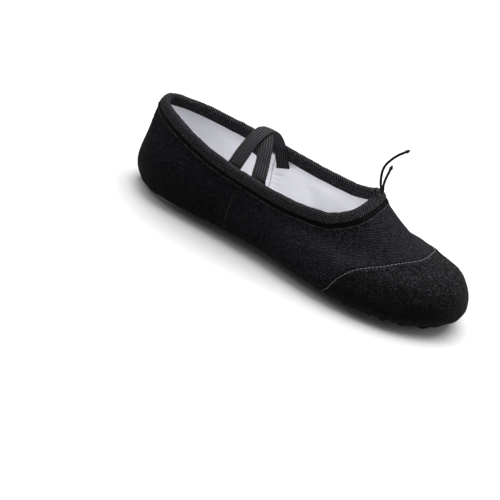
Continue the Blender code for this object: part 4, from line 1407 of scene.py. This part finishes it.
def sole_patch(name, args, body, cad, seed):
    n = 360
    out = egg(*args, n)
    th = np.arange(n) * 2 * math.pi / n
    rng = np.random.default_rng(seed)
    rag = sum(rng.uniform(0.04, 0.12) * np.sin(th * k + rng.uniform(0, 6.28)) for k in (5, 9, 14, 23, 37, 58))
    rag = rag + rng.normal(0, 0.06, n)
    centre2 = out.mean(0)
    rings = []
    lower = [0.0, 0.10, 0.3, 0.6, 1.0, 1.6, 2.3, 3.0, 3.5, 3.8, 4.0, 4.2, 4.5, 5.2, 6.0, 6.8, 7.5, 7.8, 8.0, 8.2, 8.5, 9.2, 10.4]

    def zlow(d):
        edge = 0.55 * math.exp(-d / 0.35)
        groove = sum(0.30 * math.exp(-((d - c) / 0.42) ** 2) for c in (4.0, 8.0))
        return edge + groove + 0.03
    verts, fabs = [], []
    for d in lower:
        r = inset(out, d - rag * math.exp(-d / 1.5))
        z = np.full(n, zlow(d))
        if d > 0.5:
            z = z + 0.05 * np.sin(r[:, 0] * 1.9 + r[:, 1] * 1.3) * np.sin(r[:, 1] * 2.3 - r[:, 0] * 0.7)
        verts.append(np.column_stack([r, np.maximum(z, 0.0)]))
        g = sum(math.exp(-((d - c) / 0.6) ** 2) for c in (4.0, 8.0))
        fabs.append(np.column_stack([r, np.full(n, 0.25 * min(g, 1.0))]))
    base_r = inset(out, 10.4)
    for f in (0.9, 0.8, 0.68, 0.55, 0.42, 0.3, 0.18, 0.08):
        r = centre2 + (base_r - centre2) * f
        z = 0.05 + 0.05 * np.sin(r[:, 0] * 1.9 + r[:, 1] * 1.3) * np.sin(r[:, 1] * 2.3 - r[:, 0] * 0.7)
        z = z + 0.10 * (1 - f) * 0.3
        verts.append(np.column_stack([r, np.maximum(z, 0.0)]))
        fabs.append(np.column_stack([r, np.zeros(n)]))
    k_low = len(verts)
    verts.append(np.array([[centre2[0], centre2[1], 0.05]]))
    fabs.append(np.array([[centre2[0], centre2[1], 0.0]]))
    # edge and top
    upper = []
    for d, z in ((-0.05, 0.95), (0.0, 1.2), (0.15, 1.45), (0.5, 1.6), (3.0, 1.6), (9.0, 1.6)):
        r = inset(out, d - rag * 0.8)
        upper.append(np.column_stack([r, np.full(n, z)]))
    allv = np.concatenate(verts + upper)
    fab_u = [np.column_stack([u[:, :2], np.full(n, 0.15)]) for u in upper]
    allf = np.concatenate(fabs + fab_u)
    faces = []
    for r in range(k_low - 1):
        for i in range(n):
            j = (i + 1) % n
            faces.append((r * n + i, (r + 1) * n + i, (r + 1) * n + j, r * n + j))
    cidx = k_low * n
    for i in range(n):
        faces.append(((k_low - 1) * n + i, cidx, (k_low - 1) * n + (i + 1) % n))
    u0 = cidx + 1
    for i in range(n):
        j = (i + 1) % n
        faces.append((i, j, u0 + j, u0 + i))
    for r in range(len(upper) - 1):
        for i in range(n):
            j = (i + 1) % n
            faces.append((u0 + r * n + i, u0 + r * n + j, u0 + (r + 1) * n + j, u0 + (r + 1) * n + i))
    faces.append(tuple(u0 + (len(upper) - 1) * n + i for i in range(n)))
    ob = make(name, allv, faces, SOLE, allf)
    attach(ob, body)
    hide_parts(cad)
    return out


def sole_stitches(name, out, d, body, cad, seed, shift):
    """Needle holes with the dark lower thread in them, and the pale thread between."""
    ring = inset(out, d)
    ring = np.concatenate([ring, ring[:1]])
    seg = np.linalg.norm(np.diff(ring, axis=0), axis=1)
    s = np.concatenate([[0], np.cumsum(seg)])
    cnt = int(round(s[-1] / 2.7))
    pitch = s[-1] / cnt
    parts = Parts()
    rng = np.random.default_rng(seed)
    for i in range(cnt):
        a = (i + shift) * pitch + rng.uniform(-0.12, 0.12)

        def at(x, z):
            x = x % s[-1]
            return np.array([np.interp(x, s, ring[:, 0]), np.interp(x, s, ring[:, 1]), z])
        nrm = rng.uniform(-0.12, 0.12)
        f = np.linspace(0, 1, 5)
        dot = [at(a + (q - 0.5) * 0.75, 0.30 - 0.10 * math.sin(math.pi * q)) for q in f]
        parts.add(*tube_mesh(np.array(dot) + np.array([nrm, 0, 0]), 0.30, 7, ref=np.array([0, 0, 1.0])), index=0)
        f = np.linspace(0, 1, 7)
        lay = [at(a + 0.45 + q * (pitch - 0.9), 0.42 - 0.13 * math.sin(math.pi * q) ** 0.7) for q in f]
        parts.add(*tube_mesh(np.array(lay), 0.17, 6, ref=np.array([0, 0, 1.0])), index=1)
    ob = parts.build(name, [SOLE_DARK, SOLE_PALE])
    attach(ob, body)
    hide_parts(cad)
    return ob


FORE = (98.0 + SHIFT_X, 27.0 + SHIFT_X, 28.0, 0.13)
HEEL = (-62.0 + SHIFT_X, -108.0 + SHIFT_X, 18.6, -0.02)
for args, body, word, seed in ((FORE, "forefoot", "forefoot", 1), (HEEL, "heel", "heel", 2)):
    outl = sole_patch(f"{word}_patch", args, body, f"{word}_sole", seed)
    sole_stitches(f"{word}_patch_stitches_outer", outl, 4.0, body, f"{word}_sole_stitch_outer", seed + 10, 0.0)
    sole_stitches(f"{word}_patch_stitches_inner", outl, 8.0, body, f"{word}_sole_stitch_inner", seed + 20, 0.5)


# ------------------------------------------------------------ floor, light
def floor():
    n = 24
    size = 6.0
    xs = np.linspace(-size / 2, size / 2, n)
    verts = [(x * 1000, y * 1000, -0.3) for y in xs for x in xs]
    faces = [(r * n + c, r * n + c + 1, (r + 1) * n + c + 1, (r + 1) * n + c) for r in range(n - 1) for c in range(n - 1)]
    g = Graph("pale_floor", rough=0.45, spec=0.3)
    g.colour(g.mix(g.noise(0.012, 2.0), (0.520, 0.520, 0.524), (0.535, 0.535, 0.535)))
    ob = make("studio_floor", verts, faces, g.m, np.array(verts), flip=False)


floor()


def area(name, loc, target, size, power, colour=(1, 1, 1)):
    li = bpy.data.lights.new(name, 'AREA')
    li.shape = 'RECTANGLE'
    li.size, li.size_y = size
    li.energy = power
    li.color = colour
    ob = bpy.data.objects.new(name, li)
    bpy.context.scene.collection.objects.link(ob)
    from mathutils import Vector
    ob.location = loc
    ob.rotation_euler = (Vector(target) - Vector(loc)).to_track_quat('-Z', 'Y').to_euler()
    return ob


area("top_softbox", (0.0, 0.45, 1.6), (0, 0, 0), (2.0, 1.8), 74.0)
area("front_softbox", (-1.05, -0.45, 1.25), (0, 0, 0.03), (0.7, 0.7), 10.0)
area("toe_softbox", (1.1, 0.1, 0.8), (0.05, 0, 0.03), (0.8, 0.8), 3.6)
world = bpy.data.worlds.new("studio")
world.use_nodes = True
bg = world.node_tree.nodes["Background"]
bg.inputs[0].default_value = (1.0, 1.0, 1.0, 1.0)
bg.inputs[1].default_value = 0.24
bpy.context.scene.world = world
bpy.context.scene.view_settings.view_transform = 'Standard'
